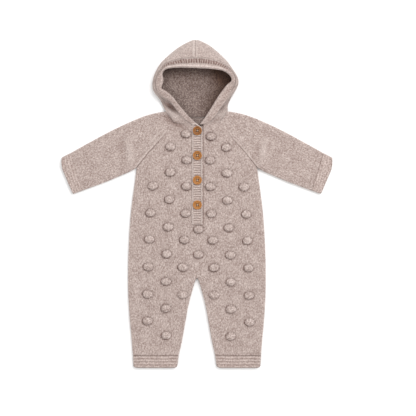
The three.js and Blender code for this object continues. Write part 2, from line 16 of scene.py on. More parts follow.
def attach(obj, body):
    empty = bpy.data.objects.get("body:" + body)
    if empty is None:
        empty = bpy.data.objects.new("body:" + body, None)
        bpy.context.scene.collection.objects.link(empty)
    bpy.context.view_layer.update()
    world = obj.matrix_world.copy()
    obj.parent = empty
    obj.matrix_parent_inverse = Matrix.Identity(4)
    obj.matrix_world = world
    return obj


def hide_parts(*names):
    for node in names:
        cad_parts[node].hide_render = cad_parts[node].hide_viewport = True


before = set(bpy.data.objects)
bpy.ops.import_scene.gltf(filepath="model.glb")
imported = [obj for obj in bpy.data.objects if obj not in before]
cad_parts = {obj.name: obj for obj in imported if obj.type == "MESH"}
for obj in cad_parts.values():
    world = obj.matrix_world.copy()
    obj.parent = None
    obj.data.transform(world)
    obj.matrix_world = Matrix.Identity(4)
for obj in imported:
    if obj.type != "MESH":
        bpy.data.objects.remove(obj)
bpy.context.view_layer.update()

bl_info = {
    "name": "Knitted Baby Romper",
    "version": (1, 0, 0),
    "blender": (4, 5, 0),
    "location": "3D View > Sidebar > Romper",
    "description": "Models a hooded knitted baby romper, laid flat, piece by piece",
    "category": "Object",
}

MM = 0.001
MEET = 0.02 * MM
QUARTER = math.pi / 2
UP = Vector((0, 0, 1))

# Cloth and the flat stack of front over back
WALL = 2.8
SEAM = 0.05
LOFT = 8.6
MID = 4.3
ROLL = 4.15
FOLD = 4.3
RAGLAN_GAP = 0.08
PUFF = 0.8
RAGLAN_LEAN = 0.79  # distance from the raglan seam for each millimetre along X
HEM_Y = -328
LEG_CUFF_Y = -303.6
CROTCH_Y = -150

# Half of the body and one leg, from the cuff seam up to the armhole
Body = namedtuple("Body", "y outer inner")
BODY = [
    Body(-303.2, 128.4, 36.4),
    Body(-276, 130.5, 30.3),
    Body(-240, 133.8, 23.8),
    Body(-204, 136.4, 17.2),
    Body(-176, 137.6, 10),
    Body(-158, 138, 4.6),
    Body(-150, 138, 1.6),
    Body(-140, 138, 2.4),
    Body(-108, 137.4, 4),
    Body(-72, 136, 6),
    Body(-41.3, 134.2, 8),
    Body(0, 130.4, 8),
    Body(40, 125, 8),
]

# Raglan seams on the right half, from the armhole to the neck, with roll 1 at a rolled edge
Raglan = namedtuple("Raglan", "x y roll")
RAGLAN = [
    Raglan(120.8, 72.6, 1),
    Raglan(116.6, 78.2, 0.45),
    Raglan(111, 84.8, 0),
    Raglan(97.6, 102, 0),
    Raglan(78, 123.6, 0),
    Raglan(61, 142.8, 0),
    Raglan(46.2, 163.3, 0),
]
BACK_RAGLAN = [
    Raglan(120.8, 72.6, 1),
    Raglan(116.2, 78.8, 0.45),
    Raglan(110, 86.2, 0),
    Raglan(96, 105.4, 0),
    Raglan(76, 129.4, 0),
    Raglan(59, 151.2, 0),
    Raglan(44, 175.4, 0),
]
FRONT_NECK = {"x": 8, "y": 158.7, "slope": 0.12}
BACK_NECK_Y = 172.4
NECK_BEND_Y = 142.8  # the rows above this follow the neckline
NECK_RIB = {"rise": 0.7, "pitch": 4, "crest": 162, "start": 158, "end": 180}
NECK_INSIDE = {"half_width": 50, "low": 150, "shade": 0.5}  # what shows of the back through the neck, and its painted shade

# Sleeve on the right: folded top edge and underarm, then the top edge beside the raglan
Tube = namedtuple("Tube", "top_x top_y low_x low_y")
SLEEVE_TUBE = [
    Tube(252.4, 102.4, 229.6, 27),
    Tube(232, 114, 205.5, 35.8),
    Tube(210, 126, 180.5, 45.2),
    Tube(187, 138.6, 156, 55.6),
    Tube(165, 149.8, 136, 64.2),
]
SLEEVE_TOP = [
    (147, 158.4), (140.6, 161.4), (132, 165.2), (117, 171.6), (100.6, 177.4), (82.4, 182.2), (62, 185.6),
]
SLEEVE_CUFF = [Tube(252.45, 102.37, 229.64, 26.98), Tube(271.4, 92.7, 248.4, 20.3)]
LEG_CUFF = [Tube(128.4, LEG_CUFF_Y, 36.6, LEG_CUFF_Y), Tube(126.8, HEM_Y, 40, HEM_Y)]
CUFF_BOW = {"share": 0.73, "out": 5.2}  # where across a sleeve cuff its end stands out most, and how far
SLEEVE_AXIS = Vector((0.896, -0.443, 0))

# Placket and buttons
PLACKET = {"left": -10.2, "right": 11.9, "bottom": -41, "top": 158.4, "bend": 138, "height": LOFT + PUFF}
UNDER = {"left": -6.5, "right": 16, "bottom": -39, "top": 156, "height": 6.3}
PLACKET_RIB = 4.8
PLACKET_LINES = {"border": 1.8, "ribs": (3, 18.6), "furrow": 18.2, "bound_off": 20.4}  # from its left edge
PLACKET_TOP = [(-10.2, 159.6), (-4, 162.9), (-0.8, 160.9), (3.4, 157.9), (9.4, 152.6), (11.9, 145)]
BUTTONS = {"x": 0.9, "top_y": 146.4, "pitch": 49.4, "base": 10.2}
BUTTON_PAINTED_SHADES = (0.36, 0.12, 0.0, 0.0)  # painted shade over each whole button, from the top one down
BUTTON_PROFILE = [
    (0, 0), (7.9, 0), (8.6, 0.3), (9.02, 0.95), (9.1, 1.9), (9.0, 2.7), (8.68, 3.3), (8.15, 3.6),
    (7.6, 3.58), (7.1, 3.3), (6.7, 2.85), (6.1, 2.5), (5, 2.35), (0, 2.3),
]
BUTTON_SIDES = 64
DISH = {"floor": 4.6, "floor_z": 2, "step": 6.1, "rim": 8.4}
HOLE = {"radius": 1.4, "spacing": 3.9, "sides": 24, "depth": 6, "middle_z": 1.8}
THREAD = {"radius": 0.2, "apart": 0.95, "arc": 4.4, "sides": 8, "steps": 12, "top": 2.0, "cross": 0.35}

# Bobbles knitted into the front, in rows mirrored about a line
BOBBLE = {"half_width": 9.5, "half_height": 7.4, "tilt": -0.014, "line": 3.2, "sides": 32}
BOBBLE_PROFILE = [
    (0.66, -1.6), (0.74, -0.9), (0.86, -0.1), (0.955, 0.8), (1.0, 1.8), (0.99, 2.7),
    (0.93, 3.6), (0.81, 4.45), (0.63, 5.1), (0.4, 5.5), (0.18, 5.62), (0, 5.65),
]
BobbleRow = namedtuple("BobbleRow", "y inner outer middle_y firm lean", defaults=(None, None, 1.0, 0.0))
BOBBLE_ROWS = [
    BobbleRow(137.6, 25.2, lean=-0.09),
    BobbleRow(113.7, 56),
    BobbleRow(87.7, 23.2),
    BobbleRow(62.5, 56.6),
    BobbleRow(35, 24, 91.2),
    BobbleRow(8, 58.1),
    BobbleRow(-19, 25.8, 96),
    BobbleRow(-47, 60.8, None, -50.4),
    BobbleRow(-72, 28.4, 97.9),
    BobbleRow(-101, 63.6, None, -101),
    BobbleRow(-127, 31, 100.3),
    BobbleRow(-155.5, 64.8),
    BobbleRow(-181.5, 31.3, 101.4, None, 0.62),
    BobbleRow(-209.5, 65),
    BobbleRow(-235, 102.2),
    BobbleRow(-263.5, 64.5),
]

# Hood, from the neck to the crown: heights first, then each side's stations in plan
HOOD_X = -3
HoodHeight = namedtuple("HoodHeight", "edge seam out spine")
HOOD_HEIGHTS = [
    HoodHeight(9.8, 8.6, 4.3, 173.6),
    HoodHeight(12.5, 11, 6, 185),
    HoodHeight(16.5, 14, 7.5, 198),
    HoodHeight(20.5, 17, 8.5, 211),
    HoodHeight(23.5, 19.5, 9, 225),
    HoodHeight(25.5, 21.5, 9, 239),
    HoodHeight(26.5, 23, 9, 254),
    HoodHeight(27, 24.5, 9, 269),
    HoodHeight(27, 25.5, 9, 285),
    HoodHeight(27, 26, 9, 302),
    HoodHeight(27, 26, 9, 311),
    HoodHeight(27, 26, 9, 318),
]
Station = namedtuple("Station", "edge_x edge_y seam_x seam_y out_x out_y dip")
HOOD_RIGHT = [
    Station(6, 159.2, 24, 160.7, 61.8, 186, 0),
    Station(19, 177, 33, 170.5, 61.8, 197, 1.5),
    Station(33, 199, 47, 190, 65.6, 207, 3),
    Station(46, 218.6, 61, 210, 71, 217, 2),
    Station(59, 235, 70.5, 227.5, 77.8, 228, 0),
    Station(69.5, 244.5, 77, 242, 83, 240.5, 0),
    Station(66.5, 254.5, 74.5, 256.5, 81.5, 253, 0),
    Station(56, 262.5, 64.5, 269.5, 71.5, 269.5, 0),
    Station(43, 266, 49, 281.5, 58.2, 287.6, 0),
    Station(20, 268.5, 25, 289, 31, 312.6, 0),
    Station(7, 269, 9, 291, 8, 325.6, 0),
    Station(-2.9, 269.5, -2.9, 291.5, -2.9, 328, 0),
]
HOOD_LEFT = [
    Station(-3.2, 163.2, -11, 159.2, -61.8, 186, 0),
    Station(-18, 177, -26, 170, -67.5, 196, 3),
    Station(-34, 195, -40.5, 187, -71.5, 204.8, 6),
    Station(-49, 213.5, -55, 205, -77.2, 213.4, 5.5),
    Station(-62, 224.5, -70.5, 215, -83.8, 221, 2),
    Station(-70.5, 229, -80.5, 228.5, -88.4, 231, 0),
    Station(-66.5, 245, -81, 247, -88.5, 246, 0),
    Station(-68.5, 258.5, -74, 264.5, -82, 265.2, 0),
    Station(-60, 267.5, -61.5, 279, -69, 285, 0),
    Station(-35, 270.5, -36, 288, -38.6, 311.4, 0),
    Station(-15, 270, -16, 290.5, -13.5, 325.4, 0),
    Station(-3.1, 269.5, -3.1, 291.5, -3.1, 328, 0),
]
DIP_SHAPE = [(0, 0), (1, 0.6), (2, 1), (3, 0.4), (4, 0), (6, 0)]
HOOD_TURN = 8
HOOD_CREST_Y = 288  # the crown seam shows above this
HOOD_OUTLINE, HOOD_GROUND, HOOD_SPINE = 6, 8, 11  # places along a hood row, from 0 at the band seam
HOOD_RIB = 5.2
BAND_STEP = 0.75
BAND_CROWN = 1.4
BAND_LINES = {"ribs": (0.1, 0.6), "furrow": 0.66, "rim": 0.84}  # shares of the band's width

# Creases: a soft line between two points, its half width, and how far it rises or sinks
Crease = namedtuple("Crease", "x y to_x to_y width rise")
FRONT_CREASES = [
    Crease(112, 78, 84, 108, 5, 0.5),
    Crease(-112, 78, -86, 106, 5, 0.6),
    Crease(104, 66, 74, 84, 7, -0.5),
    Crease(-106, 64, -70, 88, 8, -0.5),
    Crease(6, -140, 44, -128, 6, -0.5),
    Crease(-6, -138, -40, -122, 7, -0.5),
    Crease(4, -128, 6, -76, 9, 0.4),
    Crease(-124, 20, -104, -2, 9, -0.4),
    Crease(122, 12, 106, -16, 10, -0.4),
    Crease(-126, -150, -98, -158, 11, -0.4),
    Crease(128, -142, 104, -156, 10, -0.4),
    Crease(-84, -232, -46, -222, 10, -0.4),
    Crease(48, -238, 88, -226, 11, -0.4),
    Crease(-26, 154, -46, 140, 6, -0.5),
]
SLEEVE_CREASES_RIGHT = [
    Crease(138, 130, 128, 80, 6, 2.8),
    Crease(124, 120, 116, 92, 5, -1.2),
    Crease(156, 130, 148, 88, 8, -0.8),
    Crease(104, 108, 62, 158, 4, 0.9),
    Crease(182, 120, 172, 92, 10, 0.5),
    Crease(214, 96, 204, 62, 11, -0.5),
]
SLEEVE_CREASES_LEFT = [
    Crease(-138, 132, -132, 80, 6, 2.8),
    Crease(-152, 136, -148, 92, 6, -1.3),
    Crease(-118, 112, -113, 88, 5, -0.8),
    Crease(-106, 106, -70, 150, 4.5, 0.9),
    Crease(-186, 118, -178, 84, 10, 0.6),
    Crease(-216, 100, -206, 60, 10, -0.5),
]
NECK_CREASES = [
    Crease(-68, 178, -48, 164, 5.5, -2.6),
    Crease(-50, 163, -22, 152, 5.5, -2.8),
    Crease(32, 167, 50, 172, 5, -1.6),
]
HOOD_CREASES_LEFT = [
    Crease(-62, 187, -36, 171, 6, 3.2),
    Crease(-66, 205, -38, 185, 5.4, -4.6),
    Crease(-70, 212, -58, 200, 4, 1.4),
    Crease(-84, 246, -76, 240, 5, -1.2),
    Crease(-82, 226, -74, 220, 4, -0.8),
    Crease(-6.4, 326, -6.4, 292, 2.2, 1.7),
    Crease(-50, 296, -26, 306, 9, -0.6),
]
HOOD_CREASES_RIGHT = [
    Crease(42, 186, 52, 196, 4.2, -2.8),
    Crease(40, 170, 58, 182, 7, 1.6),
    Crease(62, 230, 78, 235, 3, -1.6),
    Crease(70, 224, 78, 228, 3.5, 0.8),
    Crease(76, 250, 82, 246, 4, -0.8),
    Crease(-1.2, 326, -1.2, 292, 1.4, -0.8),
    Crease(26, 300, 46, 284, 9, -0.5),
]

# Finishes: the knits' depth of stitches, flecks and brightness, where the bobbles' extra brightness is a
# painted highlight on their tops, and tints of the painted shade in the buttons' and the thread's hollows
KNITS = {
    "plain_knit": {"depth": 0.55},
    "bobble_knit": {"depth": 0.5, "mottle": 1.35, "light": 1.02},
    "rib_knit": {"depth": 0.45, "light": 1.06},
    "garter_knit": {"depth": 0.6, "purl": True, "light": 1.08},
}
WOOD_PAINTED_SHADE = (0.25, 0.18, 0.13)
THREAD_PAINTED_SHADE = (0.16, 0.12, 0.09)

# Floor, light and camera, in metres
FLOOR = {"size": 4, "z": -0.0003}
Lamp = namedtuple("Lamp", "name place size energy")
LAMPS = [
    Lamp("key", (1.25, 1.45, 2.75), 2.5, 73),
    Lamp("fill", (-1.8, -1.2, 2.6), 2.4, 17),
]
WORLD = {"colour": (1, 0.995, 0.985, 1), "strength": 0.8}
CAMERA = {"place": (0.0222, -0.008, 1.973), "lens": 85, "sensor": 36}

# Steps of the grids
EDGE_STEPS = 6
PANEL_STEPS = 44
MIDDLE_STEPS = 8
ROW_STEP = 3
BACK_ROW_STEP = 6
BACK_PANEL_STEPS = 18
BACK_NECK_STEP = 0.7
PLACKET_STEP = 0.6
UNDER_ROWS = 66
BESIDE_SEAM = (0, 0.5, 1.1, 1.9, 2.9)
SLEEVE_ACROSS = 30
SLEEVE_UNDER = 14
CUFF_ACROSS = 56
CUFF_UNDER = 16
CUFF_ROWS = 64
CUFF_RIDGES = 4
HOOD_STEPS = (26, 7, 12)  # from the band seam to the outline, round the turn, and in to the spine
HOOD_ROWS = 12  # between two stations
BAND_TOP = 20
BAND_RIM = 6
BAND_BELOW = 6


def mix(a, b, t):
    """The value a share t of the way from a to b."""
    return a + (b - a) * t


def clamp(value, low=0.0, high=1.0):
    return min(high, max(low, value))


def ease(t):
    """A smooth step from 0 to 1."""
    t = clamp(t)
    return t * t * (3 - 2 * t)


def smooth(points):
    """A function for the smooth curve through (place, value) pairs; values are numbers or vectors."""
    places = [place for place, _ in points]
    values = [value for _, value in points]
    last = len(points) - 1
    slopes = []
    for k in range(last + 1):
        a, b = max(k - 1, 0), min(k + 1, last)
        slopes.append((values[b] - values[a]) / (places[b] - places[a]))

    def at(place):
        k = min(max(bisect_right(places, place) - 1, 0), last - 1)
        span = places[k + 1] - places[k]
        t = clamp((place - places[k]) / span)
        start = t * (1 - t) ** 2 * span
        end = t * t * (t - 1) * span
        turn = slopes[k] * start + slopes[k + 1] * end
        return values[k] * (1 - ease(t)) + values[k + 1] * ease(t) + turn

    return at


def spread(start, end, step, seam_at_start=False, seam_at_end=False):
    """Places from start to end about a step apart, and closer beside a seam."""
    first = [start + d for d in BESIDE_SEAM] if seam_at_start else [start]
    final = [end - d for d in reversed(BESIDE_SEAM)] if seam_at_end else [end]
    count = max(1, round((final[0] - first[-1]) / step))
    between = [mix(first[-1], final[0], k / count) for k in range(1, count)]
    return first + between + final


def crease_rise(creases, x, y):
    """How far the creases raise the cloth at a place."""
    total = 0.0
    for crease in creases:
        run_x, run_y = crease.to_x - crease.x, crease.to_y - crease.y
        t = ((x - crease.x) * run_x + (y - crease.y) * run_y) / (run_x**2 + run_y**2)
        t = clamp(t)
        off_x, off_y = x - crease.x - t * run_x, y - crease.y - t * run_y
        share = (off_x**2 + off_y**2) / crease.width**2
        if share < 9:
            total += crease.rise * math.exp(-share) * (1 - 0.6 * (2 * t - 1) ** 2)
    return total


def crease_shade(creases, x, y):
    """How much painted shade the deep creases put on a place."""
    deep = [crease for crease in creases if crease.rise < -1]
    return clamp(-0.25 * crease_rise(deep, x, y), 0, 0.95)


def crease_light(creases, x, y):
    """How much painted highlight the high creases put on a place."""
    high = [crease for crease in creases if crease.rise > 0.8]
    return clamp(0.1 * crease_rise(high, x, y), 0, 0.4)


def wander(x, y, seed):
    """A smooth value from -1 to 1 that wanders from place to place."""
    return noise.noise(Vector((x, y, seed)))


def hand_made(x, y, size, rise):
    """The slight unevenness of a hand-knitted surface."""
    return rise * wander(x / size, y / size, 0.7)


def groove(distance, width=1.2):
    """A soft groove's share of its full depth at a distance from its middle."""
    return math.exp(-((distance / width) ** 2))


def valley(distance, share=1.0):
    """How far cloth dips beside a sewn seam."""
    return share * groove(distance, 1.3) * bpy.context.scene.romper_sizes.seam_depth / MM


# Making of cloth

SHADES = ("hollow", "inside", "lit")  # shares of painted shade in grooves, of painted shade on the hood's inner side and of painted highlight on raised edges


def cloth_grid(rows, columns, place):
    """A grid of cloth with each of its points moved to its place, and the points in a table."""
    bm = bmesh.new()
    for name in SHADES:
        bm.verts.layers.float.new(name)
    bmesh.ops.create_grid(bm, x_segments=columns, y_segments=rows, size=0.5)
    table = [[None] * (columns + 1) for _ in range(rows + 1)]
    for vert in bm.verts:
        table[round((vert.co.y + 0.5) * rows)][round((vert.co.x + 0.5) * columns)] = vert
    for i, row in enumerate(table):
        for j, vert in enumerate(row):
            vert.co = place(i, j) * MM
    bm.verts.index_update()
    return bm, table


def map_stitches(bm, stitch=lambda vert: vert.co.xy):
    """Lays rows and columns of stitches on the cloth; stitch gives a point's place in them, in metres."""
    layer = bm.loops.layers.uv.new("stitches")
    for face in bm.faces:
        for loop in face.loops:
            loop[layer].uv = stitch(loop.vert)


def walked(table):
    """Stitch places that follow the cloth: distance walked along each row, and across the rows."""
    places = {}
    for i, row in enumerate(table):
        along = 0.0
        for j, vert in enumerate(row):
            if j:
                along += (vert.co - row[j - 1].co).length
            across = 0.0
            if i:
                before = table[i - 1][j]
                across = places[before][1] + (vert.co - before.co).length
            places[vert] = (along, across)
    return places


def plan(vert):
    """A point's place on the garment in millimetres, as it is looked down on."""
    return vert.co.x / MM, vert.co.y / MM


def lift(bm, rise, facing=0.25):
    """Moves each point that looks up along its normal, by rise millimetres at its place."""
    bm.normal_update()
    moves = []
    for vert in bm.verts:
        share = clamp((vert.normal.z - facing) / 0.4)
        if share > 0:
            amount = rise(*plan(vert)) * share
            moves.append((vert, vert.normal * (amount * MM)))
    for vert, move in moves:
        vert.co += move


def mark(bm, name, share):
    """Stores a number from 0 to 1 on each point, from share(x, y) of its place in millimetres."""
    layer = bm.verts.layers.float[name]
    for vert in bm.verts:
        vert[layer] = clamp(share(*plan(vert)))


def shades_of(bm, *names):
    """The layers that hold those shades."""
    return [bm.verts.layers.float[name] for name in names]


def join_up(bm, distance, fill=True):
    """Merges the points that meet, fills what is open if asked to, and turns the faces outwards."""
    bmesh.ops.remove_doubles(bm, verts=bm.verts, dist=distance)
    if fill:
        bmesh.ops.holes_fill(bm, edges=[edge for edge in bm.edges if edge.is_boundary], sides=0)
    bmesh.ops.recalc_face_normals(bm, faces=bm.faces)


def turned(profile, sides, distance):
    """A closed form turned about Z from a profile of radii and heights."""
    bm = bmesh.new()
    points = [bm.verts.new((radius, 0, height)) for radius, height in profile]
    edges = [bm.edges.new(pair) for pair in zip(points, points[1:])]
    bmesh.ops.spin(
        bm, geom=points + edges, cent=(0, 0, 0), axis=(0, 0, 1),
        angle=2 * math.pi, steps=sides, use_merge=True,
    )
    join_up(bm, distance)
    return bm


def thicken(bm):
    """Gives the cloth its thickness, inwards, and returns the points of the inner face."""
    number = bm.verts.layers.int.new("number")
    for count, vert in enumerate(bm.verts):
        vert[number] = count
    bm.normal_update()
    places = [vert.co.copy() for vert in bm.verts]
    bmesh.ops.solidify(bm, geom=bm.faces[:], thickness=WALL * MM)
    inner = []
    reach = 1.1 * WALL * MM
    for vert in bm.verts:
        way = vert.co - places[vert[number]]
        if way.length > 0.2 * reach:
            inner.append(vert)
            vert.co = places[vert[number]] + way * min(1, reach / way.length)
        vert.co.z = max(vert.co.z, 0)
    return inner


def make_object(name, bm):
    """Turns the finished mesh into an object of the scene."""
    made = bpy.data.objects.new(name, bpy.data.meshes.new(name))
    bm.to_mesh(made.data)
    bm.free()
    bpy.context.scene.collection.objects.link(made)
    return made


def piece(bm, name, material, nodes, sharp=50):
    """Makes the finished mesh a named piece that rides on the body and stands for its CAD nodes."""
    made = make_object(name, bm)
    mesh = made.data
    if "number" in mesh.attributes:
        mesh.attributes.remove(mesh.attributes["number"])
    mesh.shade_smooth()
    mesh.set_sharp_from_angle(angle=math.radians(sharp))
    mesh.materials.append(material)
    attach(made, "root")
    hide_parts(*nodes)
    return made


# Materials

def link_value(tree, socket, value):
    """Links a socket to another one, or gives it a plain value."""
    if isinstance(value, bpy.types.NodeSocket):
        tree.links.new(value, socket)
    else:
        socket.default_value = value


def add_node(tree, kind, **inputs):
    """Adds a shader node with a value or a link on each of the named inputs."""
    node = tree.nodes.new("ShaderNode" + kind)
    for name, value in inputs.items():
        link_value(tree, node.inputs[name], value)
    return node


def add_math(tree, operation, *values):
    node = tree.nodes.new("ShaderNodeMath")
    node.operation = operation
    for socket, value in zip(node.inputs, values):
        link_value(tree, socket, value)
    return node.outputs[0]


def add_mix(tree, factor, a, b, blend="MIX"):
    node = tree.nodes.new("ShaderNodeMix")
    node.data_type = "RGBA"
    node.blend_type = blend
    link_value(tree, node.inputs["Factor"], factor)
    link_value(tree, node.inputs["A"], a)
    link_value(tree, node.inputs["B"], b)
    return node.outputs["Result"]


def add_tint(tree, share, colour, tint):
    """Multiplies a colour by a tint, as far as share says."""
    return add_mix(tree, share, colour, add_mix(tree, 1.0, colour, (*tint, 1), "MULTIPLY"))


def add_noise(tree, vector, scale, detail=2.0, roughness=0.5):
    node = add_node(tree, "TexNoise", Vector=vector, Scale=scale, Detail=detail, Roughness=roughness)
    return node.outputs["Fac"]


def add_point(tree, x, y, z=0.0):
    return add_node(tree, "CombineXYZ", X=x, Y=y, Z=z).outputs[0]


def add_split(tree, vector):
    return add_node(tree, "SeparateXYZ", Vector=vector).outputs


def add_share(tree, name):
    """The share that the piece's points carry under that name."""
    node = tree.nodes.new("ShaderNodeAttribute")
    node.attribute_name = name
    return node.outputs["Fac"]


def add_ramp(tree, factor, stops):
    """A colour ramp through (position, colour) pairs."""
    ramp = add_node(tree, "ValToRGB", Fac=factor)
    elements = ramp.color_ramp.elements
    for position, _ in stops[1:-1]:
        elements.new(position)
    for element, (position, colour) in zip(elements, stops):
        element.position = position
        element.color = (*colour, 1)
    return ramp.outputs["Color"]


def add_bump(tree, shader, height, depth, strength=1.0):
    bump = add_node(tree, "Bump", Strength=strength, Distance=depth * MM, Height=height)
    tree.links.new(bump.outputs["Normal"], shader.inputs["Normal"])


def new_material(name, roughness, specular):
    material = bpy.data.materials.new(name)
    material.use_nodes = True
    tree = material.node_tree
    shader = tree.nodes["Principled BSDF"]
    shader.inputs["Roughness"].default_value = roughness
    shader.inputs["Specular IOR Level"].default_value = specular
    return material, tree, shader


def knit_material(name, depth, purl=False, mottle=1.0, light=1.0):
    """Heathered yarn in knit stitches, or in the bumps of a garter stitch when purl is true. mottle is the
    strength of its flecks, and light brightens it."""
    sizes = bpy.context.scene.romper_sizes
    colours = bpy.context.scene.romper_colours
    material, tree, shader = new_material(name, 0.92, 0.18)
    shader.inputs["Sheen Weight"].default_value = 0.35
    shader.inputs["Sheen Roughness"].default_value = 0.55
    shader.inputs["Sheen Tint"].default_value = (0.95, 0.9, 0.87, 1)
    do = partial(add_math, tree)

    # The stitch's own place: column and row, and how far out from the column's middle
    uv = tree.nodes.new("ShaderNodeUVMap")
    uv.uv_map = "stitches"
    place = uv.outputs["UV"]
    u, v, _ = add_split(tree, place)
    across = do("DIVIDE", u, sizes.stitch_width)
    along = do("DIVIDE", v, sizes.stitch_height)
    outwards = do("MULTIPLY", do("ABSOLUTE", do("SUBTRACT", do("FRACT", across), 0.5)), 2.0)
    leg = do("SUBTRACT", along, do("MULTIPLY", outwards, 0.0 if purl else 0.95))
    round_leg = do("MULTIPLY_ADD", do("COSINE", do("MULTIPLY", leg, 2 * math.pi)), 0.5, 0.5)
    strand = do("SINE", do("MULTIPLY", outwards, math.pi))
    stitch = do("MULTIPLY", do("MULTIPLY_ADD", round_leg, 0.65, 0.35), strand)

    # Random tone of each stitch, blotches of the heathered yarn, and its single fibres
    cell = add_point(tree, do("FLOOR", do("MULTIPLY", across, 2.0)), do("FLOOR", leg))
    toss = tree.nodes.new("ShaderNodeTexWhiteNoise")
    toss.noise_dimensions = "2D"
    tree.links.new(cell, toss.inputs["Vector"])
    blotch = add_noise(tree, place, 330, 2.0, 0.65)
    drift = add_noise(tree, place, 55, 1.0)
    fibre = add_noise(tree, add_point(tree, do("MULTIPLY", u, 2.2), v), 1300, 3.0, 0.7)
    inside = add_share(tree, "inside")
    tone = 0.0
    for part, share in ((blotch, 1.35), (toss.outputs["Value"], 0.45), (drift, 0.35), (fibre, 0.9)):
        tone = do("MULTIPLY_ADD", do("SUBTRACT", part, 0.5), share * mottle, tone)
    tone = do("MULTIPLY_ADD", tone, do("MULTIPLY_ADD", inside, 1.1, 1.0), 0.5)

    # The yarn's colour, with painted shade between its strands, in grooves and in the hood, and a painted
    # highlight on raised edges
    colour = add_ramp(tree, tone, [(0, colours.fleck_dark), (0.5, colours.yarn), (1, colours.fleck_light)])
    bright = do("MULTIPLY_ADD", stitch, 0.3 * light, 0.78 * light)
    colour = add_mix(tree, 1.0, colour, add_point(tree, bright, bright, bright), "MULTIPLY")
    colour = add_tint(tree, add_share(tree, "hollow"), colour, colours.hollow)
    colour = add_mix(tree, add_share(tree, "lit"), colour, (*colours.raised, 1))
    colour = add_tint(tree, inside, colour, colours.inside)
    tree.links.new(colour, shader.inputs["Base Color"])
    relief = do("MULTIPLY_ADD", blotch, 0.8, do("MULTIPLY_ADD", fibre, 0.3, stitch))
    add_bump(tree, shader, relief, depth)
    return material


def wood_material(name):
    """Honey-coloured wood with its grain along X, and a satin finish."""
    colours = bpy.context.scene.romper_colours
    material, tree, shader = new_material(name, 0.45, 0.25)
    shader.inputs["Coat Weight"].default_value = 0.1
    shader.inputs["Coat Roughness"].default_value = 0.3
    do = partial(add_math, tree)
    place = tree.nodes.new("ShaderNodeTexCoord").outputs["Object"]
    x, y, z = add_split(tree, place)
    streak = add_noise(tree, add_point(tree, do("MULTIPLY", x, 0.18), y, z), 1500, 3.0, 0.6)
    cloud = add_noise(tree, place, 160, 2.0)
    rings = do("SINE", do("MULTIPLY", do("MULTIPLY_ADD", cloud, 0.004, y), 4200))
    tone = do("MULTIPLY_ADD", rings, 0.13, do("MULTIPLY", streak, 0.75))
    tone = do("MULTIPLY_ADD", cloud, 0.3, tone)
    colour = add_ramp(tree, tone, [(0.2, colours.wood_dark), (0.85, colours.wood_light)])
    # Painted shade in the dish, under the rim, in the holes and over the whole of the top buttons
    colour = add_tint(tree, add_share(tree, "hollow"), colour, WOOD_PAINTED_SHADE)
    tree.links.new(colour, shader.inputs["Base Color"])
    add_bump(tree, shader, streak, 0.1, 0.5)
    return material


def thread_material(name):
    """Pale sewing thread, twisted."""
    colours = bpy.context.scene.romper_colours
    material, tree, shader = new_material(name, 0.8, 0.25)
    place = tree.nodes.new("ShaderNodeTexCoord").outputs["Object"]
    twist = add_noise(tree, place, 2600, 2.0, 0.6)
    tone = add_mix(tree, twist, (*(0.7 * c for c in colours.thread), 1), (*colours.thread, 1))
    # Painted shade on the thread where it goes down into the holes
    tone = add_tint(tree, add_share(tree, "hollow"), tone, THREAD_PAINTED_SHADE)
    tree.links.new(tone, shader.inputs["Base Color"])
    add_bump(tree, shader, twist, 0.2)
    return material


def finish(name):
    """The finish of that name, made when it is first asked for."""
    if name in bpy.data.materials:
        return bpy.data.materials[name]
    if name in KNITS:
        return knit_material(name, **KNITS[name])
    return wood_material(name) if name == "honey_wood" else thread_material(name)


# Body

def front_neck_y(x):
    """Height on the garment of the front's neckline."""
    return FRONT_NECK["y"] + (abs(x) - FRONT_NECK["x"]) * FRONT_NECK["slope"]


def back_neck_y(x):
    """Height on the garment of the back's neckline."""
    return mix(BACK_NECK_Y, BACK_RAGLAN[-1].y, abs(x) / BACK_RAGLAN[-1].x)


def puff(x, y, half_width):
    """How far the front rises in the middle of the body, and not at the hem."""
    return PUFF * math.cos(clamp(x / half_width, -1, 1) * QUARTER) * clamp((y - HEM_Y) / 60)


def rolled(distance):
    """How far a rolled edge has come down at a distance in from it."""
    if distance >= ROLL:
        return 0.0
    return ROLL - math.sqrt(max(ROLL**2 - (ROLL - max(distance, 0)) ** 2, 0))


def body_outline(raglan):
    """Functions of a height on the panel: its half width, half of the leg gap, and its edge's roll."""
    armhole = raglan[0]
    side = smooth([(row.y, row.outer) for row in BODY] + [(armhole.y, armhole.x - RAGLAN_GAP)])
    slanted = smooth([(row.y, row.x - RAGLAN_GAP) for row in raglan])
    gap = smooth([(row.y, row.inner) for row in BODY if row.y <= CROTCH_Y])
    roll = smooth([(row.y, row.roll) for row in raglan])
    outer = lambda y: side(y) if y <= armhole.y else slanted(y)
    edge = lambda y: 1.0 if y <= armhole.y else clamp(roll(y))
    return outer, gap, edge


def half_row(outer, inner, steps):
    """Distances from the middle, from the side seam in to the inner edge."""
    insets = [ROLL * (1 - math.cos(k / EDGE_STEPS * QUARTER)) for k in range(EDGE_STEPS + 1)]
    across = [mix(outer - ROLL, inner + ROLL, k / steps) for k in range(1, steps)]
    return [outer - d for d in insets] + across + [inner + d for d in reversed(insets)]


def panel_row(outer, left, right, steps):
    """Places along X of a panel's columns in one row; left and right are the middle gap's edges."""
    lay = [-x for x in half_row(outer, -left, steps)]
    middle = [mix(left, right, k / MIDDLE_STEPS) for k in range(1, MIDDLE_STEPS)]
    return lay + middle + list(reversed(half_row(outer, right, steps)))


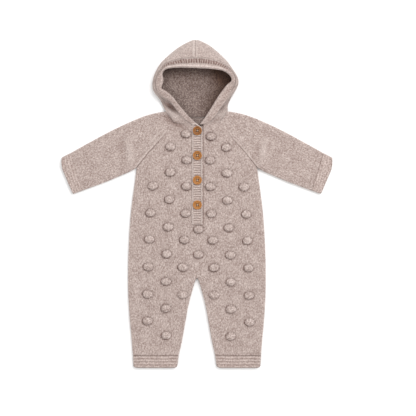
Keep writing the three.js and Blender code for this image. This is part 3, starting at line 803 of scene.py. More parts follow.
def slit_edges(y, gap):
    """The middle gap's two edges: the legs' inner edges, and above them what becomes the placket's slit."""
    if y <= CROTCH_Y:
        return -gap(y), gap(y)
    reach = ease((y - CROTCH_Y) / (PLACKET["bottom"] - SEAM - CROTCH_Y))
    start = gap(CROTCH_Y)
    return mix(-start, PLACKET["left"] - SEAM, reach), mix(start, PLACKET["right"] + SEAM, reach)


def crotch_distance(x, y, gap):
    """Distance from the edge between the legs."""
    if y < CROTCH_Y:
        return abs(x) - gap(y)
    return math.hypot(max(abs(x) - gap(CROTCH_Y), 0), y - CROTCH_Y)


def bobble_places():
    """Where the bobbles are, and how firm each is: 1, or less for one that is worn soft."""
    places = []
    for row in BOBBLE_ROWS:
        offsets = [(row.inner, row.firm), (-row.inner, row.firm)]
        if row.outer:
            offsets += [(row.outer, 1.0), (-row.outer, 1.0)]
        slope = BOBBLE["tilt"] + row.lean
        places += [(BOBBLE["line"] + off, row.y + slope * off, firm) for off, firm in offsets]
        if row.middle_y is not None:
            places.append((BOBBLE["line"], row.middle_y, 1.0))
    return places


def bobble_ring(x, y, places, middle, width, shaded=False):
    """1 on a ring round each bobble, and 0 away from it; middle is the ring's radius in bobble radii.
    A shaded ring is fainter on the side that the light comes from."""
    total = 0.0
    for at_x, at_y, firm in places:
        across, along = (x - at_x) / BOBBLE["half_width"], (y - at_y) / BOBBLE["half_height"]
        if abs(across) < 1.8 and abs(along) < 1.8:
            radius = math.hypot(across, along)
            side = 0.7 - 0.5 * (across + along) / (1.42 * radius + 0.01) if shaded else 1.0
            total += firm * side * groove(radius - middle, width)
    return total


def raglan_along(y):
    """How far up the raglan seam a height is, from 0 at the armhole to 1 at the neck."""
    return clamp((y - RAGLAN[0].y) / (RAGLAN[-1].y - RAGLAN[0].y))


def raglan_share(along):
    """The raglan seam is deep at the armhole and fades out towards the neck."""
    return mix(1.0, 0.0, ease((along - 0.4) / 0.45))


def raglan_away(edge_x, x, y):
    """Distance of a place from the raglan seam, whose x at each height edge_x gives."""
    return RAGLAN_LEAN * (abs(x) - edge_x(clamp(y, RAGLAN[0].y, RAGLAN[-1].y)))


def raglan_shade(edge_x):
    """A function for how much painted shade a place has beside the raglan seam."""
    def shade(x, y):
        if y < RAGLAN[0].y - 3:
            return 0.0
        away = raglan_away(edge_x, x, y)
        dotted = 0.6 + 0.4 * wander(x / 3, y / 3, 8)
        lines = max(groove(away, 1.1), 0.45 * groove(away - 6.5, 1.2))
        return dotted * raglan_share(raglan_along(y)) * lines

    return shade


def raglan_light(edge_x):
    """A function for the painted highlight on the puckered ridge beside the raglan seam."""
    def light(x, y):
        if y < RAGLAN[0].y:
            return 0.0
        away = raglan_away(edge_x, x, y)
        pucker = 0.35 + 0.5 * wander(x / 2.5, y / 2.5, 4)
        return clamp(pucker) * raglan_share(raglan_along(y) - 0.15) * groove(away - 2.6, 1.3)

    return light


def neck_row_y(x, y, top, neck_y):
    """Rows near the top bend to follow the neckline."""
    if y <= NECK_BEND_Y:
        return y
    return NECK_BEND_Y + (y - NECK_BEND_Y) * (neck_y(x) - NECK_BEND_Y) / (top - NECK_BEND_Y)


def delete_cells(bm, table, cells):
    """Takes out the cells of a grid for which cells(row, column) is true."""
    gone = []
    for i in range(len(table) - 1):
        for j in range(len(table[0]) - 1):
            if cells(i, j):
                corners = {table[i][j], table[i][j + 1], table[i + 1][j + 1], table[i + 1][j]}
                for face in table[i][j].link_faces:
                    if set(face.verts) == corners:
                        gone.append(face)
    bmesh.ops.delete(bm, geom=gone, context="FACES")


def panel_cloth(raglan, levels, steps, neck_y, slit, height):
    """A panel of the body and both legs, open between the legs and above the slit's lower end.
    height(x, y, half, down) gives its height, where half is its half width and down is the share
    by which its edge has come down."""
    outer, gap, edge = body_outline(raglan)
    rows = [panel_row(outer(y), *slit_edges(y, gap), steps) for y in levels]

    def place(i, j):
        x, y = rows[i][j], levels[i]
        half = outer(y)
        down = clamp(rolled(half - abs(x)) * edge(y) / ROLL)
        if y < CROTCH_Y + ROLL:
            down = max(down, rolled(crotch_distance(x, y, gap)) / ROLL)
        return Vector((x, neck_row_y(x, y, levels[-1], neck_y), height(x, y, half, down)))

    bm, table = cloth_grid(len(levels) - 1, len(rows[0]) - 1, place)
    middle = 2 * EDGE_STEPS + steps
    in_gap = lambda j: middle <= j < middle + MIDDLE_STEPS
    is_open = lambda i: levels[i + 1] <= CROTCH_Y or levels[i] >= slit
    delete_cells(bm, table, lambda i, j: in_gap(j) and is_open(i))
    return bm


def front_panel():
    """The front's outer face, with the slit for the placket."""
    slit = PLACKET["bottom"] - SEAM
    armhole, top = RAGLAN[0].y, RAGLAN[-1].y
    levels = spread(BODY[0].y, CROTCH_Y, ROW_STEP, True) + spread(CROTCH_Y, slit, ROW_STEP, False, True)[1:]
    levels += spread(slit, armhole, ROW_STEP, True)[1:] + spread(armhole, top, ROW_STEP, False, True)[1:]
    edge = body_outline(RAGLAN)[2]

    def height(x, y, half, down):
        slit_x = max(PLACKET["left"] - SEAM - x, x - PLACKET["right"] - SEAM, 0)
        dip = valley(math.hypot(slit_x, max(slit - y, 0)), 1.0 if x > 0 else 0.35)
        if y > armhole:
            side = RAGLAN_LEAN * (half - abs(x))
            dip = max(dip, valley(side, raglan_share((y - armhole) / (top - armhole))) * (1 - edge(y)))
        dip = max(dip, valley(y - levels[0], 0.6))
        return mix(LOFT + puff(x, y, half) - dip, LOFT - ROLL, down)

    return panel_cloth(RAGLAN, levels, PANEL_STEPS, front_neck_y, slit, height)


class ROMPER_OT_front(bpy.types.Operator):
    """Model the front of the body and both legs"""

    bl_idname = "romper.front"
    bl_label = "Front"

    def execute(self, context):
        share = context.scene.romper_sizes.crease_share
        places = bobble_places()
        bm = front_panel()
        map_stitches(bm)
        creases = FRONT_CREASES + NECK_CREASES

        def rise(x, y):
            pucker = bobble_ring(x, y, places, 1.1, 0.22)
            return crease_rise(creases, x, y) * share - 0.95 * pucker + hand_made(x, y, 26, 0.45)

        raglan = raglan_shade(smooth([(row.y, row.x) for row in RAGLAN]))

        # Painted shade beside and below the placket's band, at the hem, round the bobbles, beside the
        # raglan seams and in the deep creases
        def shade(x, y):
            right = 0.6 * groove(x - PLACKET["right"] - 0.9, 0.9) * clamp((y - PLACKET["bottom"]) / 4)
            below = groove(y - PLACKET["bottom"] + 0.7, 0.8) * clamp((PLACKET["right"] + 1 - x) / 2)
            below *= clamp((x - PLACKET["left"]) / 2)
            hem = 0.35 * groove(y - BODY[0].y, 1.2)
            ring = 1.1 * bobble_ring(x, y, places, 1.07, 0.15, shaded=True)
            return max(ring, raglan(x, y), right, below, hem) + crease_shade(creases, x, y)

        lift(bm, rise)
        mark(bm, "hollow", shade)
        # Painted highlight on the high creases
        mark(bm, "lit", lambda x, y: crease_light(creases, x, y))
        for vert in thicken(bm):
            vert.co.z = max(vert.co.z, (LOFT - ROLL) * MM)
        front = piece(bm, "front_panel", finish("plain_knit"), ["front"])
        return {"FINISHED"}


def shape_bobble(bm, dice, firm):
    """Makes one turned bobble oval and a little uneven, as gathered loops are, with painted shade round its
    base and on its lower left and a painted highlight on its top.
    """
    grow = dice.uniform(0.95, 1.04)
    seed = Vector((dice.uniform(0, 50), dice.uniform(0, 50), 0))
    lean = Vector((dice.uniform(-0.3, 0.3), dice.uniform(-0.3, 0.3), 0))
    for name in ("hollow", "lit"):
        bm.verts.layers.float.new(name)
    shade, lit = shades_of(bm, "hollow", "lit")
    for vert in bm.verts:
        radius = math.hypot(vert.co.x, vert.co.y)
        lumps = noise.noise(vert.co * 1.7 + seed) * 0.07 + noise.noise(vert.co * 4.5 + seed) * 0.03
        flat = Vector((vert.co.x, vert.co.y, 0)) * (1 + lumps)
        high = clamp(vert.co.z / 5)
        up = vert.co.z * mix(0.55, 1, firm) + noise.noise(flat * 2.2 + seed) * 0.5 * high
        vert.co = Vector((flat.x * BOBBLE["half_width"] * grow, flat.y * BOBBLE["half_height"] * grow, up))
        vert.co += lean * high
        low_side_shade = 0.2 * clamp(0.3 - 0.7 * (flat.x + flat.y))
        vert[shade] = clamp(firm * ((1 - ease((up + 0.2) / 2.6)) * clamp(radius / 0.8) + low_side_shade))
        vert[lit] = 0.09 * firm * ease((up - 2.8) / 2.2)


class ROMPER_OT_bobbles(bpy.types.Operator):
    """Model the bobbles that are knitted into the front"""

    bl_idname = "romper.bobbles"
    bl_label = "Bobbles"

    def execute(self, context):
        height = context.scene.romper_sizes.bobble_height / MM / BOBBLE_PROFILE[-1][1]
        dice = random.Random(7)
        joined = bmesh.new()
        for at_x, at_y, firm in bobble_places():
            bm = turned([(radius, rise * height) for radius, rise in BOBBLE_PROFILE], BOBBLE["sides"], 1e-4)
            shape_bobble(bm, dice, firm)
            ground = LOFT + puff(at_x, at_y, BODY[0].outer)
            turn = Matrix.Rotation(dice.uniform(-0.16, 0.16), 4, "Z")
            bm.transform(Matrix.Scale(MM, 4) @ Matrix.Translation((at_x, at_y, ground)) @ turn)
            mesh = bpy.data.meshes.new("bobble")
            bm.to_mesh(mesh)
            bm.free()
            joined.from_mesh(mesh)
            bpy.data.meshes.remove(mesh)
        map_stitches(joined)
        piece(joined, "bobbles", finish("bobble_knit"), ["front"], sharp=80)
        return {"FINISHED"}


def neck_rib(y):
    """The few rows of ribbing inside the back neck."""
    turn = (y - NECK_RIB["crest"]) / NECK_RIB["pitch"] * 2 * math.pi
    clear = clamp((y - NECK_RIB["start"]) / 3) * clamp((NECK_RIB["end"] - y) / 3)
    return NECK_RIB["rise"] * math.cos(turn) * clear


def rib_neck(bm, verts, low=-1.0):
    """Raises the neck's ribbing on those points of the inner face, by low millimetres at least, with
    painted shade in its slots and painted highlight on its ridges.
    """
    hollow, lit = shades_of(bm, "hollow", "lit")
    for vert in verts:
        ridge = neck_rib(vert.co.y / MM)
        vert[hollow] = clamp(-ridge)
        vert[lit] = clamp(0.5 * ridge)
        vert.co.z += max(ridge, low) * MM


class ROMPER_OT_back(bpy.types.Operator):
    """Model the back of the body and both legs"""

    bl_idname = "romper.back"
    bl_label = "Back"

    def execute(self, context):
        armhole, top = BACK_RAGLAN[0].y, BACK_RAGLAN[-1].y
        levels = spread(BODY[0].y, CROTCH_Y, BACK_ROW_STEP)
        for start, end in ((CROTCH_Y, armhole), (armhole, NECK_BEND_Y)):
            levels += spread(start, end, BACK_ROW_STEP)[1:]
        levels += spread(NECK_BEND_Y, top, BACK_NECK_STEP)[1:]
        height = lambda x, y, half, down: ROLL * down
        bm = panel_cloth(BACK_RAGLAN, levels, BACK_PANEL_STEPS, back_neck_y, math.inf, height)
        bmesh.ops.reverse_faces(bm, faces=bm.faces[:])
        map_stitches(bm)
        inner = thicken(bm)
        inside = bm.verts.layers.float["inside"]
        in_neck = []
        # The inner face seen through the neck gets painted shade
        for vert in inner:
            vert.co.z = min(vert.co.z, ROLL * MM)
            if abs(vert.co.x) < NECK_INSIDE["half_width"] * MM and vert.co.y > NECK_INSIDE["low"] * MM:
                vert[inside] = NECK_INSIDE["shade"]
                in_neck.append(vert)
        rib_neck(bm, in_neck)
        back = piece(bm, "back_panel", finish("plain_knit"), ["back"])
        return {"FINISHED"}


# Sleeves and cuffs

def flat_point(x, y, z=0.0):
    return Vector((x, y, z))


def sleeve_stations():
    """The right sleeve's rows, from the cuff seam to the neck: top edge, low front, low back and roll."""
    tube = []
    for row in SLEEVE_TUBE:
        low = flat_point(row.low_x, row.low_y)
        tube.append((flat_point(row.top_x, row.top_y), low, low, 1.0))
    shoulder = []
    for top, front, back in zip(SLEEVE_TOP, RAGLAN, BACK_RAGLAN):
        lows = [flat_point(row.x + RAGLAN_GAP, row.y) for row in (front, back)]
        shoulder.append((flat_point(*top), *lows, front.roll))
    return tube, shoulder


def dense_rows(stations, step):
    """Stations joined by smooth curves and laid out again about a step apart."""
    length = [0.0]
    for before, after in zip(stations, stations[1:]):
        length.append(length[-1] + max((after[k] - before[k]).length for k in (0, 1)))
    curves = [smooth([(at, row[k]) for at, row in zip(length, stations)]) for k in range(4)]
    count = round(length[-1] / step)
    return [[curve(length[-1] * k / count) for curve in curves] for k in range(count + 1)]


def sleeve_section(top, low, side, roll, steps):
    """One layer of the flattened sleeve from its low edge to its fold: point, height, distance in."""
    width = (top - low).length
    way = (top - low).normalized()
    layer = []
    for k in range(EDGE_STEPS):
        angle = k / EDGE_STEPS * QUARTER
        inset = ROLL * (1 - math.cos(angle))
        layer.append((low + way * inset, MID + side * (FOLD - ROLL * (1 - math.sin(angle)) * roll), inset))
    for k in range(steps + 1):
        inset = mix(ROLL, width - FOLD, k / steps)
        layer.append((low + way * inset, MID + side * FOLD, inset))
    for k in range(1, EDGE_STEPS + 1):
        angle = k / EDGE_STEPS * QUARTER
        inset = width - FOLD * (1 - math.sin(angle))
        layer.append((low + way * inset, MID + side * FOLD * math.cos(angle), inset))
    return layer


def sleeve_rows():
    """Points of the right sleeve's rows, from its cuff to the neck."""
    tube, shoulder = sleeve_stations()
    lower = dense_rows(tube + shoulder[:1], ROW_STEP)
    upper = dense_rows(shoulder, ROW_STEP)
    rows = []
    for n, (top, low_front, low_back, roll) in enumerate(lower + upper[1:]):
        sewn = n >= len(lower)
        roll = clamp(roll) if sewn else 1.0
        front = sleeve_section(top, low_front, 1, roll, SLEEVE_ACROSS)
        back = sleeve_section(top, low_back, -1, roll, SLEEVE_UNDER)
        row = []
        for at, height, inset in front:
            deep = 0.6 * raglan_share(raglan_along(low_front.y)) * (1 - roll) if sewn else 0
            row.append(Vector((at.x, at.y, height - valley(0.84 * inset, deep))))
        row += [Vector((at.x, at.y, height)) for at, height, _ in reversed(back[:-1])]
        rows.append(row)
    return rows


class ROMPER_OT_sleeves(bpy.types.Operator):
    """Model the two raglan sleeves"""

    bl_idname = "romper.sleeves"
    bl_label = "Sleeves"

    def execute(self, context):
        share = context.scene.romper_sizes.crease_share
        rows = sleeve_rows()
        for name, side, creases in (
            ("sleeve_right", 1, SLEEVE_CREASES_RIGHT), ("sleeve_left", -1, SLEEVE_CREASES_LEFT)
        ):
            flip = Vector((side, 1, 1))
            bm, _ = cloth_grid(len(rows) - 1, len(rows[0]) - 1, lambda i, j: rows[i][j] * flip)
            axis = SLEEVE_AXIS * flip
            side_way = Vector((-axis.y, axis.x, 0))
            map_stitches(bm, lambda vert: (vert.co.dot(side_way), -vert.co.dot(axis)))
            if side < 0:
                bmesh.ops.reverse_faces(bm, faces=bm.faces[:])
            near = creases + NECK_CREASES
            lift(bm, lambda x, y: crease_rise(near, x, y) * share + hand_made(x, y, 24, 0.5))
            seam_x = smooth([(row.y, row.x) for row in RAGLAN])
            dark, light = raglan_shade(seam_x), raglan_light(seam_x)
            # Painted shade beside the raglan seam and in the deep creases, and painted highlight on the
            # puckered ridge and the high creases
            mark(bm, "hollow", lambda x, y: dark(x, y) + crease_shade(near, x, y))
            mark(bm, "lit", lambda x, y: light(x, y) + crease_light(near, x, y))
            thicken(bm)
            sleeve = piece(bm, name + "_cloth", finish("plain_knit"), [name])
        return {"FINISHED"}


def flat_ring(width):
    """Round a flattened tube: from its low edge over the front, round the fold and back underneath."""
    ring = []
    for k in range(EDGE_STEPS):
        angle = k / EDGE_STEPS * QUARTER
        ring.append((FOLD * (1 - math.cos(angle)), MID + FOLD * math.sin(angle)))
    ring += [(mix(FOLD, width - FOLD, k / CUFF_ACROSS), LOFT) for k in range(CUFF_ACROSS)]
    for k in range(2 * EDGE_STEPS):
        angle = QUARTER - k / EDGE_STEPS * QUARTER
        ring.append((width - FOLD * (1 - math.cos(angle)), MID + FOLD * math.sin(angle)))
    ring += [(mix(width - FOLD, FOLD, k / CUFF_UNDER), 0.0) for k in range(CUFF_UNDER)]
    for k in range(EDGE_STEPS + 1):
        angle = QUARTER - k / EDGE_STEPS * QUARTER
        ring.append((FOLD * (1 - math.cos(angle)), MID - FOLD * math.sin(angle)))
    return ring


def garter(along, across, length):
    """Height of garter ridges: rows of small bumps with a furrow between them."""
    turn = along / length * CUFF_RIDGES + 0.05 * math.sin(across / 9)
    turn += 0.1 * wander(across / 4, along, 0)
    ridge = math.fmod(turn, 1.0)
    crest = math.sin(clamp(ridge) * math.pi) ** 0.8
    bumps = 0.5 + 0.5 * math.cos(2 * math.pi * across / 2.9 + math.pi * math.floor(turn))
    return crest * (0.64 + 0.36 * bumps)


def cuff_bow(share):
    """How far a sleeve cuff's end stands out at a share of its width."""
    return CUFF_BOW["out"] * min(share / CUFF_BOW["share"], (1 - share) / (1 - CUFF_BOW["share"]))


def cuff_cloth(start, end, side, corner, bowed, seam, clear):
    """A cuff: a flattened ring with garter ridges and rounded corners at its open end. seam is how deep its
    seam is drawn in, and clear how much its ridges stand out."""
    rise = clear * bpy.context.scene.romper_sizes.ridge_rise / MM
    top = [flat_point(t.top_x * side, t.top_y) for t in (start, end)]
    low = [flat_point(t.low_x * side, t.low_y) for t in (start, end)]
    along = (top[1] - top[0]).normalized()
    length = (top[1] - top[0]).length
    shares = [1 - (1 - k / CUFF_ROWS) ** 1.7 for k in range(CUFF_ROWS + 1)]
    columns = len(flat_ring(2 * FOLD)) - 1

    def place(i, j):
        share = shares[i]
        a, b = low[0].lerp(low[1], share), top[0].lerp(top[1], share)
        width = (b - a).length
        way = (b - a).normalized()
        s, height = flat_ring(width)[j]
        out = length * (1 - share)
        inset = corner - math.sqrt(max(corner**2 - max(corner - out, 0) ** 2, 0))
        across = mix(inset, width - inset, s / width)
        at = a + way * across
        if bowed:
            at += along * share * cuff_bow(s / width)
        shown = clamp((height - MID / 2) / MID)
        walk = s if height > MID else width * 2 - s
        ridge = garter(share * length, walk, length) * rise * ease(out / 1.6)
        lift_by = (ridge - valley(share * length, seam)) * shown
        end_dip = 0.6 * math.exp(-((out / 1.2) ** 2)) * shown
        outward = UP
        if s < FOLD or s > width - FOLD:
            lean = (s - FOLD) / FOLD if s < FOLD else (s - width + FOLD) / FOLD
            outward = (way * lean + Vector((0, 0, (height - MID) / FOLD))).normalized()
        if height < MID / 2:
            outward = Vector((0, 0, 0))
        return at + Vector((0, 0, height)) + outward * (lift_by - end_dip)

    bm, table = cloth_grid(CUFF_ROWS, columns, place)
    places = walked(table)
    map_stitches(bm, lambda vert: places[vert])
    layer, raised = shades_of(bm, "hollow", "lit")
    for i, row in enumerate(table):
        along = shares[i] * length
        for j, vert in enumerate(row):
            across = places[vert][0] / MM
            furrow = 1 - garter(along, across, length)
            dotted = 0.5 + 0.9 * wander(across / 2.2, along, 5)
            # Painted shade in the furrows and along the seam, and painted highlight on the ridges' crests
            vert[layer] = clamp(max(0.85 * clear * furrow**2, dotted * seam * groove(along, 1.4)))
            vert[raised] = 0.35 * clear**0.5 * clamp(1 - 2 * furrow) * clamp(2 - 2 * shares[i])
    join_up(bm, MEET, fill=False)
    if max(bm.verts, key=lambda vert: vert.co.z).normal.z < 0:
        bmesh.ops.reverse_faces(bm, faces=bm.faces[:])
    thicken(bm)
    return bm


class ROMPER_OT_sleeve_cuffs(bpy.types.Operator):
    """Model the two sleeve cuffs"""

    bl_idname = "romper.sleeve_cuffs"
    bl_label = "Sleeve cuffs"

    def execute(self, context):
        for name, side, seam, clear in (
            ("sleeve_cuff_right", 1, 0.9, 0.25), ("sleeve_cuff_left", -1, 0.35, 0.5)
        ):
            bm = cuff_cloth(*SLEEVE_CUFF, side, corner=0.8, bowed=True, seam=seam, clear=clear)
            cuff = piece(bm, name + "_cloth", finish("garter_knit"), [name])
        return {"FINISHED"}


class ROMPER_OT_leg_cuffs(bpy.types.Operator):
    """Model the two leg cuffs"""

    bl_idname = "romper.leg_cuffs"
    bl_label = "Leg cuffs"

    def execute(self, context):
        for name, side in (("leg_cuff_right", 1), ("leg_cuff_left", -1)):
            bm = cuff_cloth(*LEG_CUFF, side, corner=5, bowed=False, seam=0.6, clear=0.8)
            cuff = piece(bm, name + "_cloth", finish("garter_knit"), [name])
        return {"FINISHED"}


# Bands

def band_section(width):
    """Round a band's section with both edges rounded: across it, height, and 1 on its upper face."""
    radius = WALL / 2
    section = [(mix(radius, width - radius, k / BAND_TOP), 0.0, 1.0) for k in range(BAND_TOP)]
    for k in range(BAND_RIM):
        angle = k / BAND_RIM * math.pi
        section.append((width - radius + radius * math.sin(angle), radius * (math.cos(angle) - 1), 0.0))
    section += [(mix(width - radius, radius, k / BAND_BELOW), -WALL, 0.0) for k in range(BAND_BELOW)]
    for k in range(BAND_RIM):
        angle = k / BAND_RIM * math.pi
        section.append((radius - radius * math.sin(angle), -radius * (1 + math.cos(angle)), 0.0))
    return section + section[:1]


def band_cloth(rows, edges, rise):
    """A band along two edges. edges(i) gives its sewn and free edge and the way up there.
    rise(i, across, share) gives its upper face's height, its painted shade in a groove and its painted
    highlight on a raised edge, where across is in millimetres and share is 0 at the sewn edge and 1 at the
    free one."""
    columns = len(band_section(1)) - 1

    def place(i, j):
        sewn, free, up = edges(i)
        width = (free - sewn).length
        way = (free - sewn).normalized()
        across, height, upper = band_section(width)[j]
        if upper:
            raised, *shades[i, j] = rise(i, across, across / width)
            height += raised
        return sewn + way * across + up * height

    shades = {}
    bm, table = cloth_grid(rows, columns, place)
    hollow, lit = shades_of(bm, "hollow", "lit")
    for (i, j), (dark, light) in shades.items():
        table[i][j][hollow] = clamp(dark)
        table[i][j][lit] = clamp(light)
    places = walked(table)
    map_stitches(bm, lambda vert: (places[vert][1], places[vert][0]))
    join_up(bm, MEET)
    return bm


def rib_slot(turn, width):
    """1 in the narrow slots between ribs and 0 on the ribs, where turn counts the ribs."""
    return groove(turn - round(turn), width)


def straight_edges(band, y):
    """The two edges of a level band at a height on the garment, and the way up."""
    return Vector((band["left"], y, band["height"])), Vector((band["right"], y, band["height"])), UP


class ROMPER_OT_placket(bpy.types.Operator):
    """Model the placket's upper band, with its ribs and bound-off edge, and the band under it"""

    bl_idname = "romper.placket"
    bl_label = "Placket"

    def execute(self, context):
        rise = context.scene.romper_sizes.rib_rise / MM
        top_edge = smooth(PLACKET_TOP)
        rows = round((PLACKET["top"] - PLACKET["bottom"]) / PLACKET_STEP)
        bend = PLACKET["bend"]

        def row_y(i):
            return mix(PLACKET["bottom"], PLACKET["top"], i / rows)

        def bent(x, y):
            """The rows near the top bend to follow its slanted edge."""
            end = top_edge(clamp(x, PLACKET["left"], PLACKET["right"]))
            return y if y <= bend else bend + (y - bend) * (end - bend) / (PLACKET["top"] - bend)

        def edges(i):
            return straight_edges(PLACKET, row_y(i))

        def ribs(i, across, share):
            x, y = PLACKET["left"] + across, row_y(i)
            below = top_edge(x) - bent(x, y)
            turn = y / PLACKET_RIB + 0.16 * wander(across / 9, y / 12, 3)
            start, end = PLACKET_LINES["ribs"]
            clear = clamp((across - start) / 0.8) * clamp((end - across) / 0.8) * clamp((below - 4) / 2)
            slot = rib_slot(turn, 0.2) * clear
            bound_off = max(groove(across - PLACKET_LINES["bound_off"], 1.5), groove(below - 1.6, 1.3))
            furrow = max(groove(across - PLACKET_LINES["furrow"], 0.7), 0.7 * groove(below - 4, 0.7))
            border = groove(across - PLACKET_LINES["border"], 1.1)
            high = rise * (1 - 3.0 * slot) + 0.9 * border + 1.5 * bound_off - 0.6 * furrow
            # Painted highlight on the bound-off edge, the border and the ribs, and painted shade in the
            # slots and the furrow
            light = max(bound_off, 0.5 * border, 0.3 * clear)
            return high, max(0.85 * slot, 0.5 * furrow), light * (1 - slot)

        bm = band_cloth(rows, edges, ribs)
        for vert in bm.verts:
            vert.co.y = bent(*plan(vert)) * MM
        upper = piece(bm, "placket_upper_band", finish("rib_knit"), ["placket_upper"])

        def under_edges(i):
            return straight_edges(UNDER, mix(UNDER["bottom"], UNDER["top"], i / UNDER_ROWS))

        # The band under the upper one gets an even painted shade
        bm = band_cloth(UNDER_ROWS, under_edges, lambda i, across, share: (0.0, 0.3, 0.0))
        under = piece(bm, "placket_under_band", finish("rib_knit"), ["placket_under"])
        return {"FINISHED"}


# Hood

def hood_columns():
    """Places of a hood row's columns: from the band seam to the outline, round the turn, to the spine."""
    upper, turn, back = HOOD_STEPS
    places = [HOOD_OUTLINE * k / upper for k in range(upper)]
    places += [HOOD_OUTLINE + (HOOD_GROUND - HOOD_OUTLINE) * k / turn for k in range(turn)]
    return places + [HOOD_GROUND + (HOOD_SPINE - HOOD_GROUND) * k / back for k in range(back + 1)]


def hood_neck(side, station, spine_x):
    """The hood's neck edge: along the front neckline, over the sleeve's end and along the back neckline."""
    start = flat_point(station.seam_x, station.seam_y)
    swell = puff(start.x, start.y, RAGLAN[-1].x)
    low = flat_point(side * (RAGLAN[-1].x - SEAM), RAGLAN[-1].y + SEAM)
    top = flat_point(station.out_x, station.out_y)
    back = flat_point(side * (BACK_RAGLAN[-1].x - SEAM), BACK_RAGLAN[-1].y + 2 * SEAM)
    spine = flat_point(spine_x, back_neck_y(PLACKET["right"]) + SEAM)

    def lay(a, b, s, z):
        at = a.lerp(b, s)
        return Vector((at.x, at.y, z))

    def bend(a, angle, layer):
        share = 1 - FOLD * (1 - math.cos(angle)) / (a - top).length
        return lay(a, top, share, MID + layer * FOLD * math.sin(angle))

    return [
        lay(start, low, 0, LOFT + swell), lay(start, low, 0.5, LOFT + swell / 2), lay(start, low, 1, LOFT),
        lay(low, top, 0.5, LOFT),
        bend(low, QUARTER, 1), bend(low, QUARTER / 2, 1), bend(low, 0, 0),
        bend(back, QUARTER / 2, -1), bend(back, QUARTER, -1),
        lay(back, spine, 0, 0), lay(back, spine, 0.5, 0), lay(back, spine, 1, 0),
    ]


def hood_row(station, height, spine_x, columns):
    """One row of half of the hood, at each of the columns' places."""
    seam = Vector((station.seam_x, station.seam_y, height.seam))
    out = Vector((station.out_x, station.out_y, height.out))
    spine = flat_point(spine_x, height.spine)
    inwards = flat_point(spine.x - out.x, spine.y - out.y).normalized()
    ground = out + inwards * HOOD_TURN
    ground.z = 0
    dips = smooth(DIP_SHAPE)
    row = []
    for place in columns:
        if place <= HOOD_OUTLINE:
            angle = place / HOOD_OUTLINE * QUARTER
            at = seam.lerp(out, math.sin(angle))
            at.z = mix(out.z, seam.z, math.cos(angle)) - station.dip * dips(place)
        elif place <= HOOD_GROUND:
            angle = (place - HOOD_OUTLINE) / (HOOD_GROUND - HOOD_OUTLINE) * QUARTER
            at = out + inwards * (HOOD_TURN * (1 - math.cos(angle)))
            at.z = out.z * (1 - math.sin(angle))
        else:
            at = ground.lerp(spine, (place - HOOD_GROUND) / (HOOD_SPINE - HOOD_GROUND))
        row.append(at)
    return row


def hood_grid(stations, side):
    """The points of half of the hood, with rows from the neck to the crown. The last row but one is
    mirrored past the crown, so that the two halves meet there in one round line."""
    spine_x = HOOD_X + side * SEAM / 2
    columns = hood_columns()
    neck = hood_neck(side, stations[0], spine_x)
    first = []
    for place in columns:
        k = min(int(place), len(neck) - 2)
        first.append(neck[k].lerp(neck[k + 1], place - k))
    rows = [first] + [hood_row(s, h, spine_x, columns) for s, h in zip(stations[1:], HOOD_HEIGHTS[1:])]
    count = (len(rows) - 1) * HOOD_ROWS
    rows.append([Vector((2 * spine_x - at.x, at.y, at.z)) for at in rows[-2]])
    curves = [smooth([(i, row[j]) for i, row in enumerate(rows)]) for j in range(len(columns))]
    grid = []
    for n in range(count + 1):
        row = [curve(n / HOOD_ROWS) for curve in curves]
        for at in row:
            at.z = max(at.z, 0.0)
        grid.append(row)
    return grid


def inside_shade(x, y):
    """The hood's inner side is darker towards its crown and its right, where less light comes in."""
    right = ease((x - 0.25 * (y - 200) + 6) / 52)
    top = ease((y - 232) / 44)
    return clamp(0.59 + 0.38 * right + 0.24 * top)


class ROMPER_OT_hood(bpy.types.Operator):
    """Model the two halves of the hood"""

    bl_idname = "romper.hood"
    bl_label = "Hood"

    def execute(self, context):
        share = context.scene.romper_sizes.crease_share
        for name, side, stations, creases in (
            ("hood_right", 1, HOOD_RIGHT, HOOD_CREASES_RIGHT),
            ("hood_left", -1, HOOD_LEFT, HOOD_CREASES_LEFT),
        ):
            grid = hood_grid(stations, side)
            bm, table = cloth_grid(len(grid) - 1, len(grid[0]) - 1, lambda i, j: grid[i][j])
            places = walked(table)
            map_stitches(bm, lambda vert: places[vert])
            if side < 0:
                bmesh.ops.reverse_faces(bm, faces=bm.faces[:])
            lift(bm, lambda x, y: crease_rise(creases, x, y) * share + hand_made(x, y, 20, 0.6), 0.1)
            near = creases + NECK_CREASES

            # Painted shade along the crown seam and in the deep creases
            def dark(x, y):
                seam = 0.45 * groove(x - HOOD_X, 1.0) * clamp((y - HOOD_CREST_Y) / 3)
                return seam + crease_shade(near, x, y)

            # Painted highlight on the high creases, towards the crown and beside the crown seam
            def light(x, y):
                beside = 0.3 * groove(abs(x - HOOD_X) - 2.6, 1.3) * clamp((y - HOOD_CREST_Y) / 3)
                return crease_light(creases, x, y) + 0.12 * ease((y - 240) / 50) + beside

            mark(bm, "hollow", dark)
            mark(bm, "lit", light)
            inner = thicken(bm)
            inside = bm.verts.layers.float["inside"]
            for vert in inner:
                vert[inside] = inside_shade(*plan(vert))
            rib_neck(bm, inner, low=0.0)
            made = piece(bm, name + "_cloth", finish("plain_knit"), [name])
        return {"FINISHED"}


